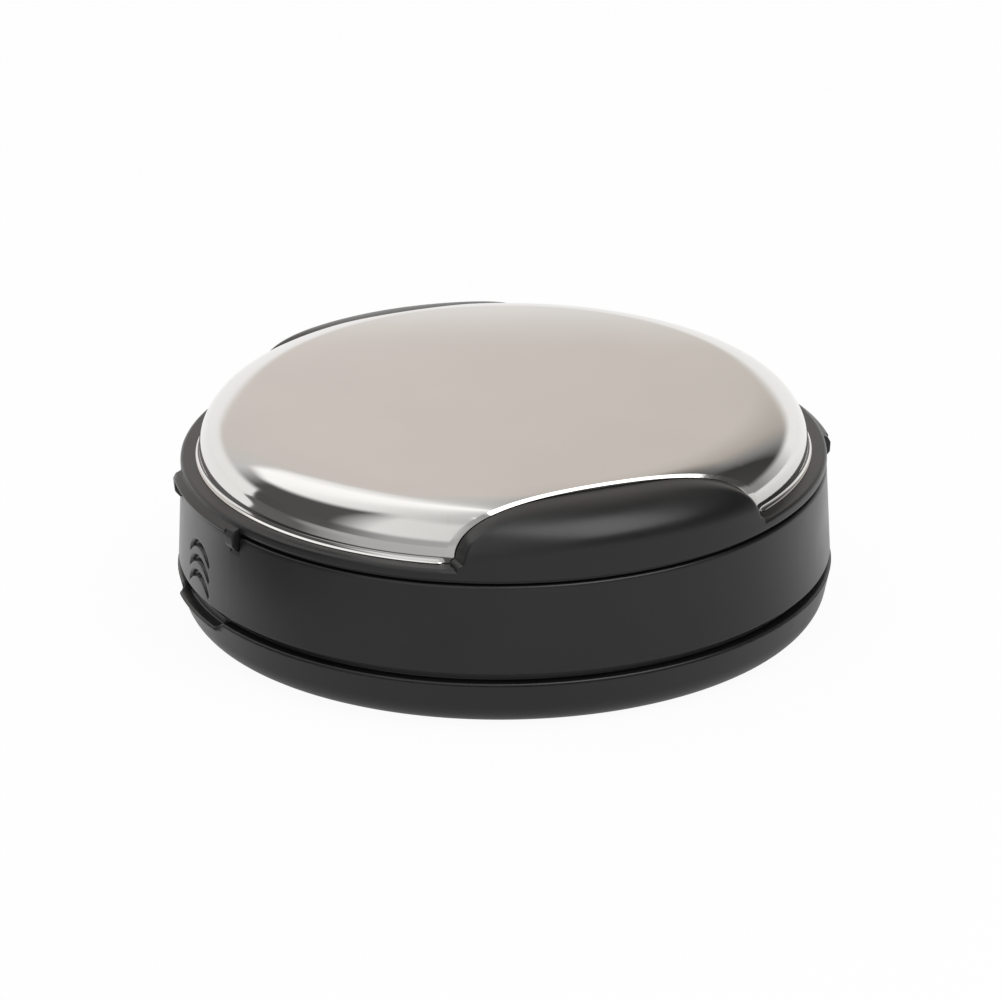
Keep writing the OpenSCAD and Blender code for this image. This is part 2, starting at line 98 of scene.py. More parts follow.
class StampSizes(bpy.types.PropertyGroup):
    """Sizes of the stamp that a user would change."""
    rim_r: length_property("Rim radius", 0.029, "Radius of the base cover's rim")
    base_h: length_property("Base height", 0.00435, "Height of the base cover up to its rim")
    base_floor: length_property("Base floor", 0.0013, "Thickness of the base cover's floor")
    base_edge_r: length_property("Base edge", 0.0026, "Radius of the rounded edge under the base cover")
    base_lean: angle_property("Base lean", 12, "Lean of the base cover's side wall")
    nail_dip: length_property("Nail dip", 0.00055, "Depth of the thumb-nail dips in the rim")
    nail_w: length_property("Nail dip width", 0.0092, "Width of the thumb-nail dips in the rim")
    nail_out: length_property("Nail ledge", 0.00038, "How far the nail ledges stand out of the wall")
    collar_r: length_property("Collar radius", 0.02655, "Outer radius of collar and skirt")
    collar_z1: length_property("Collar top", 0.0061, "Height of the collar's upper edge")
    collar_wall: length_property("Collar wall", 0.0013, "Wall of the collar and of the shell's skirt")
    ring_z0: length_property("Ring foot", 0.00515, "Height of the body ring's foot")
    ring_z1: length_property("Ring top", 0.01315, "Height of the body ring's upper edge")
    ring_foot_r: length_property("Ring foot radius", 0.02885, "Radius of the body ring at its foot")
    ring_top_r: length_property("Ring top radius", 0.0285, "Radius of the body ring at its top")
    ring_bore_r: length_property("Ring bore", 0.02685, "Radius of the body ring's bore")
    arch_r: length_property("Arch radius", 0.0028, "Outer radius of the arches in the ring's sides")
    arch_band: length_property("Arch band", 0.00075, "Thickness of an arch at its crown")
    arch_crown: length_property("Arch crown", 0.01025, "Height of the uppermost arch's crown")
    arch_step: length_property("Arch step", 0.0014, "Step from one arch down to the next")
    arch_depth: length_property("Arch depth", 0.00045, "Depth of the arches")
    arch_count: IntProperty(name="Arches", description="Number of arches in each side", default=3, min=1,
                            max=3)
    shell_z0: length_property("Shell foot", 0.0135, "Height of the press shell's lower edge")
    skirt_z0: length_property("Skirt foot", 0.00755, "Height of the lower edge of the shell's skirt")
    ledge_z: length_property("Ledge", 0.01445, "Height of the ledge that carries the steel cap")
    tongue_front: length_property("Tongue front", 0.016, "Height of the upright front of the tongues")
    tongue_drop: length_property("Tongue drop", 0.00015, "Step from the cap's cut edge to the tongues")
    core_off: length_property("Core offset", 0.00075, "Depth of the shell's dome below the cap's face")
    cap_r: length_property("Cap radius", 0.02685, "Radius of the steel cap above its foot")
    cap_z0: length_property("Cap foot", 0.0145, "Height of the steel cap's lower edge")
    crown_z: length_property("Crown", 0.0204, "Height of the steel cap's crown")
    cap_wall: length_property("Cap sheet", 0.0004, "Thickness of the steel cap's sheet")
    cap_flare: length_property("Cap flare", 0.0003, "How far the foot of the steel cap's wall flares out")
    cap_flare_h: length_property("Flare height", 0.00045, "Height over which the cap's foot flares out")
    cap_chamfer: length_property("Cap chamfer", 0.00025, "Width of the chamfer along the cap's straight cuts")
    cap_cut_y: length_property("Cap cut", 0.0229, "Distance of the cap's cuts from the middle")
    cap_dome_r: length_property("Dome radius", 0.315, "Radius of the cap's nearly flat dome")
    cap_bend_r: length_property("Bend radius", 0.0065, "Radius of the soft bend around the dome")
    cap_shoulder_r: length_property("Shoulder radius", 0.0042, "Radius of the cap's shoulder")
    cap_slope: angle_property("Shoulder slope", 35, "Slope at which the bend meets the shoulder")
    coil_r: length_property("Coil radius", 0.00142, "Mean radius of the return springs")
    wire_d: length_property("Wire", 0.00045, "Wire diameter of the return springs")
    spring_turns: IntProperty(name="Turns", description="Turns of a return spring", default=6, min=3, max=10)


class StampFinishes(bpy.types.PropertyGroup):
    """Colours of the stamp's materials, as linear light."""
    abs_black: colour_property("Black plastic", "#191919", "Colour of the moulded black plastic")
    abs_grey: colour_property("Grey plastic", "#3a3b3d", "Colour of the inner moulded parts")
    stainless: colour_property("Stainless steel", "#e3e1de", "Colour of the steel cap")
    tape: colour_property("Tape", "#dedcd4", "Colour of the tape under the steel cap")
    steel: colour_property("Steel", "#c6c5c2", "Colour of springs and screws")
    felt: colour_property("Felt", "#2c3560", "Colour of the inked felt")
    cloth: colour_property("Pad cloth", "#1d2650", "Colour of the inked pad cloth")
    foam: colour_property("Foam", "#d9d4c4", "Colour of the foam behind the die")
    rubber: colour_property("Rubber", "#9c4038", "Colour of the rubber die")


class StampStage(bpy.types.PropertyGroup):
    """Viewpoint and light of the stage."""
    azimuth: angle_property("Azimuth", -21.9, "Turn of the camera round the stamp from the front")
    elevation: angle_property("Elevation", 23, "Camera's angle above the floor")
    roll: angle_property("Roll", -0.45, "Tilt of the camera about its view")
    pitch: angle_property("Pitch", 0.832, "How far the view is raised above the stamp's foot")
    yaw: angle_property("Yaw", 0.03, "How far the view is turned to the left of the stamp's middle")
    distance: length_property("Distance", 0.6, "Camera's distance from the middle of the foot")
    lens: FloatProperty(name="Lens", description="Focal length in millimetres on a 36 mm sensor",
                        default=242.4, unit="CAMERA")
    floor_r: length_property("Floor", 2.0, "Radius of the floor")


def in_mm(group):
    """A group's lengths in millimetres and its angles and numbers as they are."""
    values = {}
    for key, prop in group.bl_rna.properties.items():
        if key in ("rna_type", "name"):
            continue
        value = getattr(group, key)
        values[key] = value / MM if getattr(prop, "unit", "NONE") == "LENGTH" else value
    return SimpleNamespace(**values)


# Grids and outlines


class Skin:
    """Grids of points in millimetres that are welded into one mesh with its faces outwards."""

    def __init__(self):
        self.points = []
        self.quads = []
        self.used = 0

    def grid(self, points, closed=False):
        """Adds rows of points as quads between neighbours. A closed grid joins its last row to its first."""
        rows, columns = points.shape[:2]
        number = np.arange(rows * columns).reshape(rows, columns) + self.used
        if closed:
            number = np.vstack([number, number[:1]])
        corners = [number[:-1, :-1], number[1:, :-1], number[1:, 1:], number[:-1, 1:]]
        self.quads.append(np.stack(corners, -1).reshape(-1, 4))
        self.points.append(points.reshape(-1, 3))
        self.used += rows * columns

    def mesh(self, name):
        """Welds points that coincide, drops quads that fold to a line, and turns the faces outwards."""
        points = np.concatenate(self.points)
        cells = np.round(points / WELD).astype(np.int64)
        first, index = np.unique(cells, axis=0, return_index=True, return_inverse=True)[1:]
        quads = index.reshape(-1)[np.concatenate(self.quads)]
        crossed = (quads[:, 0] == quads[:, 2]) | (quads[:, 1] == quads[:, 3])
        quads = quads[~crossed]
        same = quads == np.roll(quads, -1, axis=1)
        folds = same.sum(axis=1)
        triangles = quads[folds == 1][~same[folds == 1]].reshape(-1, 3)
        mesh = bpy.data.meshes.new(name)
        faces = quads[folds == 0].tolist() + triangles.tolist()
        mesh.from_pydata((points[first] * MM).tolist(), [], faces)
        work = bmesh.new()
        work.from_mesh(mesh)
        bmesh.ops.recalc_face_normals(work, faces=work.faces[:])
        work.to_mesh(mesh)
        work.free()
        mesh.shade_smooth()
        mesh.set_sharp_from_angle(angle=HARD_EDGE)
        return mesh


def piece(name, skin, body, material, slot, *nodes):
    """An object from a welded skin that rides on a body, takes a finish and stands for CAD nodes; its slot is
    not used.
    """
    thing = bpy.data.objects.new(name, skin.mesh(name))
    bpy.context.scene.collection.objects.link(thing)
    thing.data.materials.append(material)
    if body:
        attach(thing, body)
    if nodes:
        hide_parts(*nodes)
    return thing


def spaced(stops, counts):
    """Values from stop to stop, with a count of even steps between each pair, without the last stop."""
    pairs = zip(stops, stops[1:], counts)
    return np.concatenate([np.linspace(a, b, n, endpoint=False) for a, b, n in pairs])


def smooth(low, high, value):
    """0 below low, 1 above high and the cubic 3t2 - 2t3 between them."""
    t = np.clip((value - low) / (high - low), 0, 1)
    return t * t * (3 - 2 * t)


def rounded(corners, radii, steps=5):
    """A polyline whose corners are arcs, which touch both legs at radius / tan(half the corner's angle)."""
    corners = [np.asarray(c, float) for c in corners]
    out = [corners[0]]
    for before, corner, after, radius in zip(corners, corners[1:], corners[2:], radii):
        u = (before - corner) / np.linalg.norm(before - corner)
        v = (after - corner) / np.linalg.norm(after - corner)
        half = math.acos(np.clip(u @ v, -1, 1)) / 2
        if radius == 0 or half > STRAIGHT:
            out.append(corner)
            continue
        middle = corner + (u + v) / np.linalg.norm(u + v) * radius / math.sin(half)
        start = corner + u * radius / math.tan(half) - middle
        end = corner + v * radius / math.tan(half) - middle
        turn = math.atan2(start[0] * end[1] - start[1] * end[0], start @ end)
        angles = np.linspace(0, turn, steps + 1)
        cos, sin = np.cos(angles), np.sin(angles)
        spin = np.stack([cos, -sin, sin, cos], -1).reshape(-1, 2, 2)
        out.extend(middle + spin @ start)
    out.append(corners[-1])
    return np.array(out)


def lengths(path):
    """Distance along a path at each of its points."""
    return np.concatenate([[0], np.cumsum(np.linalg.norm(np.diff(path, axis=0), axis=1))])


def along(path, distance):
    """Points of a path at distances along it, for distances of any shape."""
    at = lengths(path)
    return np.stack([np.interp(distance, at, path[:, 0]), np.interp(distance, at, path[:, 1])], -1)


def even(path, count):
    """A path's points at a count of even steps along it."""
    return along(path, np.linspace(0, lengths(path)[-1], count))


def turned(angles, radius, height):
    """Points at angles (one to a row), radii and heights about the Z axis."""
    angles, radius, height = np.broadcast_arrays(np.asarray(angles)[:, None], radius, height)
    return np.stack([radius * np.cos(angles), radius * np.sin(angles), height], -1)


def full_turn(step, *fine):
    """Angles of a full turn, in radians: even steps, and finer ones by middles, half width and step.

    All that is given is in degrees."""
    parts = [np.arange(0, 360, step)]
    for middles, half, small in fine:
        parts += [np.mod(middle + np.arange(-half, half + small / 2, small), 360) for middle in middles]
    return np.radians(np.unique(np.round(np.concatenate(parts), 3)))


def from_side(angles):
    """Angle from the nearer of the +X and -X directions, from -90 to 90 degrees, and in radians."""
    return np.arctan(np.tan(angles))


def from_corner(angles):
    """Angle from the nearest corner, halfway between the X and Y directions, in degrees and in one column."""
    return np.abs(np.degrees(angles)[:, None] % 90 - 45)


def both_ends(middles, *halves):
    """Angles at which stretches round the axis start and end, by their middles and half widths."""
    return [middle + sign * half for middle in middles for half in halves for sign in (-1, 1)]


def cap_curve(s, off, steps=24):
    """Half section of the cap at an offset inside its outer face, from the middle to the top of its wall.

    Dome, bend and shoulder are arcs whose centres lie on each other's end normals, so they share tangents."""
    rise = math.sin(s.cap_slope)
    edge_r = s.cap_r - s.cap_bend_r * rise - s.cap_shoulder_r * (1 - rise)
    edge_slope = math.asin(edge_r / (1 - s.cap_bend_r / s.cap_dome_r) / s.cap_dome_r)
    middle = np.array([0, s.crown_z - s.cap_dome_r])
    arcs = [(s.cap_dome_r, 0, edge_slope), (s.cap_bend_r, edge_slope, s.cap_slope),
            (s.cap_shoulder_r, s.cap_slope, math.pi / 2)]
    out = []
    for i, (radius, start, end) in enumerate(arcs):
        if i:
            middle = middle + (arcs[i - 1][0] - radius) * np.array([math.sin(start), math.cos(start)])
        slope = np.linspace(start, end, steps + 1)[(1 if i else 0):]
        out.append(middle + (radius - off) * np.stack([np.sin(slope), np.cos(slope)], -1))
    return np.concatenate(out)


# Materials


def add_node(tree, kind, inputs=None, **settings):
    """Adds a node, sets its settings, and gives each input a value or a link from a socket."""
    node = tree.nodes.new(kind)
    for key, value in settings.items():
        setattr(node, key, value)
    for key, value in (inputs or {}).items():
        if isinstance(value, bpy.types.NodeSocket):
            tree.links.new(value, node.inputs[key])
        else:
            node.inputs[key].default_value = value
    return node


def blank_material(name):
    """A material with an empty tree, and that tree with its object coordinates."""
    material = bpy.data.materials.new(name)
    material.use_nodes = True
    tree = material.node_tree
    tree.nodes.clear()
    return material, tree, add_node(tree, "ShaderNodeTexCoord").outputs["Object"]


def shade(colour, factor):
    """A colour with alpha, made lighter or darker by a factor."""
    return (*[min(1, c * factor) for c in colour], 1)


def grain(tree, coords, size, detail=2.0):
    """Noise whose blobs are about size millimetres wide."""
    return add_node(tree, "ShaderNodeTexNoise",
                    {"Vector": coords, "Scale": 1 / (size * MM), "Detail": detail}).outputs["Fac"]


def between(tree, factor, low, high, start=0.3, end=0.7):
    """Two values, or two colours, mixed by a factor that runs from start to end."""
    colours = isinstance(low, tuple)
    ramp = add_node(tree, "ShaderNodeMapRange", {"Value": factor, "From Min": start, "From Max": end,
                                                 "To Min": 0.0 if colours else low,
                                                 "To Max": 1.0 if colours else high})
    if not colours:
        return ramp.outputs["Result"]
    return add_node(tree, "ShaderNodeMix", {6: low, 7: high, 0: ramp.outputs["Result"]},
                    data_type="RGBA").outputs[2]


def finish_material(tree, colour, factor, tones, span=(0.3, 0.7), bump=None, **inputs):
    """Adds the surface shader, with its other inputs by name, and the output.

    The colour runs between two tones as a factor runs over a span. A bump is given as height, strength and
    distance in millimetres. Underscores in a name stand for spaces."""
    values = {key.replace("_", " "): value for key, value in inputs.items()}
    values["Base Color"] = between(tree, factor, *[shade(colour, tone) for tone in tones], *span)
    if bump:
        height, strength, distance = bump
        relief = {"Height": height, "Strength": strength, "Distance": distance * MM}
        values["Normal"] = add_node(tree, "ShaderNodeBump", relief).outputs["Normal"]
    surface = add_node(tree, "ShaderNodeBsdfPrincipled", values)
    add_node(tree, "ShaderNodeOutputMaterial", {"Surface": surface.outputs["BSDF"]})


def moulded_abs(name, colour, rough, spark):
    """ABS from a spark-eroded mould: a deep even colour, a satin gloss and a very fine grain.

    The real grain is about 0.05 mm wide. It is drawn 0.16 mm wide, so that it shows."""
    material, tree, coords = blank_material(name)
    cloud = grain(tree, coords, 6.0)
    finish_material(tree, colour, cloud, (0.85, 1.15), bump=(grain(tree, coords, 0.16, 1.0), spark, 0.01),
                    Roughness=between(tree, cloud, rough - 0.03, rough + 0.03), IOR=1.57)
    return material


def polished_stainless(colour):
    """Stainless sheet, pressed and polished on a wheel: a clean grey mirror with fine rings round its axis.

    The rings are really about 0.02 mm apart. They are drawn about 0.2 mm apart, so that they show."""
    material, tree, coords = blank_material("polished_stainless_sheet")
    flat = add_node(tree, "ShaderNodeVectorMath", {0: coords, 1: (1, 1, 0)}, operation="MULTIPLY")
    radius = add_node(tree, "ShaderNodeVectorMath", {0: flat.outputs[0]}, operation="LENGTH").outputs["Value"]
    rings = add_node(tree, "ShaderNodeTexNoise", {"W": radius, "Scale": 1 / (0.2 * MM), "Detail": 3.0},
                     noise_dimensions="1D").outputs["Fac"]
    finish_material(tree, colour, grain(tree, coords, 9.0), (0.985, 1.015), bump=(rings, 0.02, 0.01),
                    Metallic=1.0, Roughness=between(tree, rings, 0.06, 0.1))
    return material


def film_tape(colour):
    """Double-sided film tape: pale and slightly glossy, with small trapped bubbles about 0.6 mm wide."""
    material, tree, coords = blank_material("double_sided_tape")
    bubbles = grain(tree, coords, 0.6)
    finish_material(tree, colour, bubbles, (0.85, 1.02), Roughness=between(tree, bubbles, 0.3, 0.5))
    return material


def drawn_steel(name, colour, rough):
    """Bright steel wire and screws: a metal with fine drawing lines in its gloss."""
    material, tree, coords = blank_material(name)
    lines = grain(tree, coords, 0.2)
    finish_material(tree, colour, lines, (0.85, 1.05), Metallic=1.0,
                    Roughness=between(tree, lines, rough - 0.06, rough + 0.08))
    return material


def pressed_felt(colour):
    """Pressed wool felt soaked with ink: matt, with a tangle of fibres about 0.3 mm apart."""
    material, tree, coords = blank_material("inked_wool_felt")
    tangle = grain(tree, coords, 0.3, 6.0)
    finish_material(tree, colour, tangle, (0.55, 1.5), bump=(tangle, 0.6, 0.15), Roughness=0.95,
                    Sheen_Weight=0.25, Sheen_Roughness=0.5)
    return material


def pad_cloth(colour):
    """Plain-woven cotton soaked with ink, with threads 0.3 mm apart drawn 0.45 mm apart so that they show."""
    material, tree, coords = blank_material("inked_cotton_cloth")
    parts = add_node(tree, "ShaderNodeSeparateXYZ", {"Vector": coords})
    pitch = 2 * math.pi / (0.9 * MM)
    waves = []
    for axis in ("X", "Y"):
        turn = add_node(tree, "ShaderNodeMath", {0: parts.outputs[axis], 1: pitch}, operation="MULTIPLY")
        waves.append(add_node(tree, "ShaderNodeMath", {0: turn.outputs[0]}, operation="SINE").outputs[0])
    weave = add_node(tree, "ShaderNodeMath", {0: waves[0], 1: waves[1]}, operation="MULTIPLY").outputs[0]
    finish_material(tree, colour, weave, (0.6, 1.5), span=(-1.0, 1.0), bump=(weave, 0.5, 0.06), Roughness=0.7,
                    Sheen_Weight=0.15)
    return material


def foam_rubber(colour):
    """Open-cell foam: matt and pale, with cells about 0.4 mm wide."""
    material, tree, coords = blank_material("latex_foam")
    voronoi = add_node(tree, "ShaderNodeTexVoronoi", {"Vector": coords, "Scale": 1 / (0.4 * MM)})
    cells = voronoi.outputs["Distance"]
    finish_material(tree, colour, cells, (0.6, 1.05), span=(0.0, 0.6), bump=(cells, 0.7, 0.1), Roughness=0.95)
    return material


def die_rubber(colour):
    """Vulcanised rubber: a soft red-brown with a dry, slightly uneven skin."""
    material, tree, coords = blank_material("vulcanised_rubber")
    cloud = grain(tree, coords, 1.2, 4.0)
    finish_material(tree, colour, cloud, (0.8, 1.15), bump=(grain(tree, coords, 0.12), 0.2, 0.02),
                    Roughness=between(tree, cloud, 0.6, 0.75))
    return material


def paint_node(node, material):
    """Gives a CAD node that stays in view a finished material."""
    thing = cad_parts[node]
    thing.data.materials.clear()
    thing.data.materials.append(material)


# Shapes, in millimetres, with the angles of their constants in degrees

# Directions of the two sides, and of the corners with springs, screws and hooks
SIDES = (0, 180)
CORNERS = (45, 135, 225, 315)
# Columns: steps round the axis for base cover and ring, press shell and pads, and the gap at a sharp step
TURN_STEP = 1.5
SHELL_STEP = 1.2
PAD_STEP = 2.0
EDGE_GAP = 0.06
# Columns along a tongue, round a post, and of the cap along the middle of a side and along a cut
TONGUE_COLUMNS = 97
POST_COLUMNS = 48
CAP_SIDE_COLUMNS = 107
CAP_CUT_COLUMNS = 120
# Rows of the ring's wall below, along and above the arches, and of the shell's dome, top, risers and band
RING_ROWS = (4, 46, 10)
DOME_ROWS = 18
TOP_ROWS = 40
RISER_ROWS = 5
BAND_ROWS = 52
# Rows of the cap's outer face, inner face and wall, and of a pad
CAP_OUTER_ROWS = 110
CAP_INNER_ROWS = 40
CAP_WALL_ROWS = 41
PAD_ROWS = 90
# Margins that tell the rows of an outline apart
MARGIN = 0.3
FINE_MARGIN = 0.02
# Depth of the seams below and above the body ring, and the gap between its edges and their seats
LOWER_SEAM = 0.9
UPPER_SEAM = 0.42
SEAM_GAP = 0.06
# Base cover: the fence round the ink pad, and the ribs between fence and collar
FENCE_R = 21.1
FENCE_WALL = 0.9
FENCE_H = 1.3
RIB_H = 0.65
RIB_COUNT = 12
RIB_HALF = 1.1
# Nail dips: how far outside and inside half their width the dip and its ledge start and are full
DIP_EASE = (0.55, 0.35)
NAIL_EASE = (0.15, 0.3)
# Heights at which the wall starts to sink to a nail dip, and at which the dip's ledge starts and is full
DIP_FROM = 2.6
NAIL_LEDGE = (3.55, 4.0)
# Body ring: half angles of the notch under a lip, of its shallow part and of a hook's slot
NOTCH_HALF = 15.2
SHALLOW_HALF = 12.3
SLOT_HALF = 4.2
# Depth of the notch's shallow part, and how much deeper it is under the teeth
NOTCH_SHALLOW = 0.3
NOTCH_DEEPER = 1.05
# Rounding of the ring's upper edge, of its foot and of its bore's upper edge
RING_EDGE = 0.3
RING_FOOT_EDGE = 0.12
BORE_EDGE = 0.15
# The wall's rows are finest from this height up to this margin above the uppermost arch
ARCH_LOW = 5.8
ARCH_MARGIN = 0.25
# Arches: widths of their outer and inner flanks, and the shares of their radius over which they fade in
ARCH_FLANKS = (0.3, 0.2)
ARCH_FADE = (0.3, 0.6)
# Bore: its step, the slots' depth and upper end, and the bead that holds the spring frame
STEP_R = 27.2
STEP_Z = 7.3
SLOT_R = 27.68
SLOT_TOP = 12.74
BEAD_R = 26.95
BEAD_Z = 5.9
BEAD_HALF = 0.2
# Tongues: gap behind the cap's cut, how far the front stays inside the band, reach past the cap's corners,
# easing between top and edge, length of the rounded ends, and how high front and top end above the ledge
TONGUE_GAP = 0.1
TONGUE_INSET = 0.05
TONGUE_PAST = 0.5
TONGUE_EASE = 0.35
TONGUE_ROUND = 1.3
TONGUE_FRONT_END = 0.3
TONGUE_TOP_END = 0.05
# Press shell: wall over the hollow, width and rounding of the ledge's outer strip, and the seam's inner end
SHELL_WALL = 1.4
LEDGE_STRIP = 0.5
LEDGE_EDGE = 0.35
NECK_R = 27.15
# Lips: half angle, where their teeth start, the angle over which both rise, and the height where they start
LIP_HALF = 15
TOOTH_FROM = 12.59
LIP_RISE = 0.24
LIP_Z = 13.98
# Outlines of a lip and of a tooth as radius and height, and the rounding of all their corners
LIP_POINTS = [[29.0, 13.76], [29.24, 13.6], [29.24, 13.4], [28.7, 13.34], [NECK_R, 13.34]]
LIP_RADII = [0.1, 0.3, 0.09, 0.09, 0.1, 0.05, 0.05]
TOOTH_POINTS = [[29.0, 13.76], [29.26, 13.3], [29.2, 12.4], [28.75, 11.86], [NECK_R, 11.86]]
TOOTH_RADII = [0.1, 0.2, 0.3, 0.25, 0.2, 0.1, 0.05]
# Hooks on the skirt: half angle, how far they stand out, and the height of their upper face
HOOK_HALF = 3.5
HOOK_OUT = 0.6
HOOK_TOP = 8.2
# Faces of the steel cap that meet at a wider angle than this keep a hard edge
CAP_HARD_EDGE = math.radians(15)
# Waves of the lumps on a soft pad along X and Y, in radians to the millimetre
LUMP_WAVES = (3.1, 2.9)


def closed_skin(points):
    """A skin of one grid that runs all the way round."""
    skin = Skin()
    skin.grid(points, closed=True)
    return skin


def box_mm(node):
    """Lower and upper corner of a CAD node's box, in millimetres."""
    return [np.array(corner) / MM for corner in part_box(node)]


def base_skin(s):
    """Base cover: one outline carried round the axis, with a low seat in the seam under the body ring.

    At the nail dips the rim sinks and flares out into a ledge, both by cubic steps along the rim, and between
    fence and collar the floor rises to the ribs."""
    fence_out, fence_z = FENCE_R + FENCE_WALL, s.base_floor + FENCE_H
    rib_z = s.base_floor + RIB_H
    ribs = (np.arange(RIB_COUNT) + 0.5) * 360 / RIB_COUNT
    angles = full_turn(TURN_STEP, (SIDES, 14, 0.35), (ribs, RIB_HALF, RIB_HALF),
                       (ribs, RIB_HALF + 2 * EDGE_GAP, RIB_HALF + EDGE_GAP))
    lean = math.tan(s.base_lean)
    edge_h = s.base_edge_r * (1 - math.sin(s.base_lean))
    wall_x = s.rim_r - lean * (s.base_h - edge_h) - s.base_edge_r * math.cos(s.base_lean)
    turn = np.linspace(-math.pi / 2, -s.base_lean, 14)
    edge = np.stack([wall_x + s.base_edge_r * np.cos(turn), s.base_edge_r * (1 + np.sin(turn))], -1)
    wall = np.linspace(edge[-1], [s.rim_r, s.base_h], 16)
    inner = s.collar_r - s.collar_wall
    seat_r, seat_z = s.ring_foot_r - LOWER_SEAM, s.ring_z0 - SEAM_GAP
    radii = [0.22, 0.12, 0.08, 0.08, 0.2, 0.2, 0.2, 0.12, 0.15, 0.15, 0.12]
    upper = rounded([wall[-2], wall[-1], [seat_r, s.base_h], [seat_r, seat_z], [s.collar_r, seat_z],
                     [s.collar_r, s.collar_z1], [inner, s.collar_z1], [inner, s.base_floor],
                     [fence_out, s.base_floor], [fence_out, fence_z], [FENCE_R, fence_z],
                     [FENCE_R, s.base_floor], [0, s.base_floor]], radii)
    foot = [[0, 0], [12, 0], [22, 0]]
    path = np.concatenate([foot, edge, wall[1:-2], upper])
    r, z = path.T
    across = np.abs(s.rim_r * np.sin(from_side(angles)))[:, None]
    half = s.nail_w / 2
    dip = s.nail_dip * smooth(half + DIP_EASE[0], half - DIP_EASE[1], across)
    flare = s.nail_out * smooth(half + NAIL_EASE[0], half - NAIL_EASE[1], across)
    outside = (r > s.collar_r + MARGIN) & (z > MARGIN)
    high = np.where(outside, smooth(DIP_FROM, s.base_h - 0.1, z), 0)
    lip = np.where(outside, smooth(*NAIL_LEDGE, z) * smooth(s.collar_r + MARGIN, s.rim_r - 2 * MARGIN, r), 0)
    off_rib = np.abs((np.degrees(angles)[:, None] - ribs + 180) % 360 - 180)
    rib = (off_rib < RIB_HALF + 0.01).any(axis=1)[:, None]
    floor = (r > fence_out + 0.05) & (r < inner - FINE_MARGIN) & (z < rib_z) & (z > s.base_floor - 0.01)
    return closed_skin(turned(angles, r - lean * dip * high + (flare + lean * dip) * lip,
                              np.where(floor & rib, rib_z, z - dip * high)))


def ring_skin(s):
    """Body ring: a drafted wall with rounded edges, a stepped bore with four slots and a top edge that sinks
    under the side lips. Arches are pressed in between two shifted circles, with softly rounded flanks."""
    notches, slots = both_ends(SIDES, NOTCH_HALF, SHALLOW_HALF), both_ends(CORNERS, SLOT_HALF)
    angles = full_turn(TURN_STEP, (SIDES, 6.4, 0.16), (notches, 3 * EDGE_GAP, EDGE_GAP),
                       (slots, EDGE_GAP, EDGE_GAP))
    side = np.degrees(np.abs(from_side(angles)))[:, None]
    deeper = NOTCH_DEEPER * smooth(SHALLOW_HALF - EDGE_GAP, SHALLOW_HALF + EDGE_GAP, side)
    top = s.ring_z1 - smooth(NOTCH_HALF + EDGE_GAP, NOTCH_HALF - EDGE_GAP, side) * (NOTCH_SHALLOW + deeper)
    low, high = s.ring_z0 + RING_FOOT_EDGE, s.ring_z1 - RING_EDGE
    arch_top = s.arch_crown + ARCH_MARGIN
    wall_z = spaced([low, ARCH_LOW, arch_top, high], RING_ROWS)
    sunk_z = arch_top + (wall_z - arch_top) * (top - RING_EDGE - arch_top) / (high - arch_top)
    wall_z = np.where(wall_z > arch_top, sunk_z, wall_z)
    wall_r = s.ring_foot_r + (s.ring_top_r - s.ring_foot_r) * (wall_z - low) / (high - low)
    across = s.ring_top_r * from_side(angles)[:, None]
    press = np.zeros_like(wall_z)
    for i in range(s.arch_count):
        h = wall_z - (s.arch_crown - s.arch_r - i * s.arch_step)
        outer = smooth(0, ARCH_FLANKS[0], s.arch_r - np.hypot(across, h))
        inner = smooth(0, ARCH_FLANKS[1], np.hypot(across, h + s.arch_band) - s.arch_r)
        press = np.maximum(press, s.arch_depth * outer * inner * smooth(*ARCH_FADE, h / s.arch_r))
    foot = rounded([[STEP_R, s.ring_z0], [s.ring_foot_r, s.ring_z0], [s.ring_foot_r, low + 0.1]],
                   [RING_FOOT_EDGE])[:-1]
    brim = rounded([[s.ring_top_r, high - 0.1], [s.ring_top_r, s.ring_z1], [s.ring_bore_r, s.ring_z1],
                    [s.ring_bore_r, s.ring_z1 - 0.5]], [RING_EDGE, BORE_EDGE])[1:-1]
    rows = np.array([SLOT_TOP + 0.25, SLOT_TOP + 0.03, SLOT_TOP, 9.0, STEP_Z + FINE_MARGIN, STEP_Z])
    row_in_slot = np.array([0, 0, 1, 1, 1, 0])
    in_slot = smooth(SLOT_HALF + EDGE_GAP, SLOT_HALF - EDGE_GAP, from_corner(angles))
    bore_z = STEP_Z + (top - BORE_EDGE - STEP_Z) * ((rows - STEP_Z) / (s.ring_z1 - BORE_EDGE - STEP_Z))
    bore_r = s.ring_bore_r + (SLOT_R - s.ring_bore_r) * in_slot * row_in_slot
    bead = np.array([[STEP_R, STEP_Z], [STEP_R, BEAD_Z + BEAD_HALF], [BEAD_R, BEAD_Z],
                     [STEP_R, BEAD_Z - BEAD_HALF], [STEP_R, s.ring_z0]])
    parts = [foot.T, (wall_r - press, wall_z), (brim[:, 0], brim[:, 1] + top - s.ring_z1), (bore_r, bore_z),
             bead.T]
    return closed_skin(np.concatenate([turned(angles, r, z) for r, z in parts], axis=1))


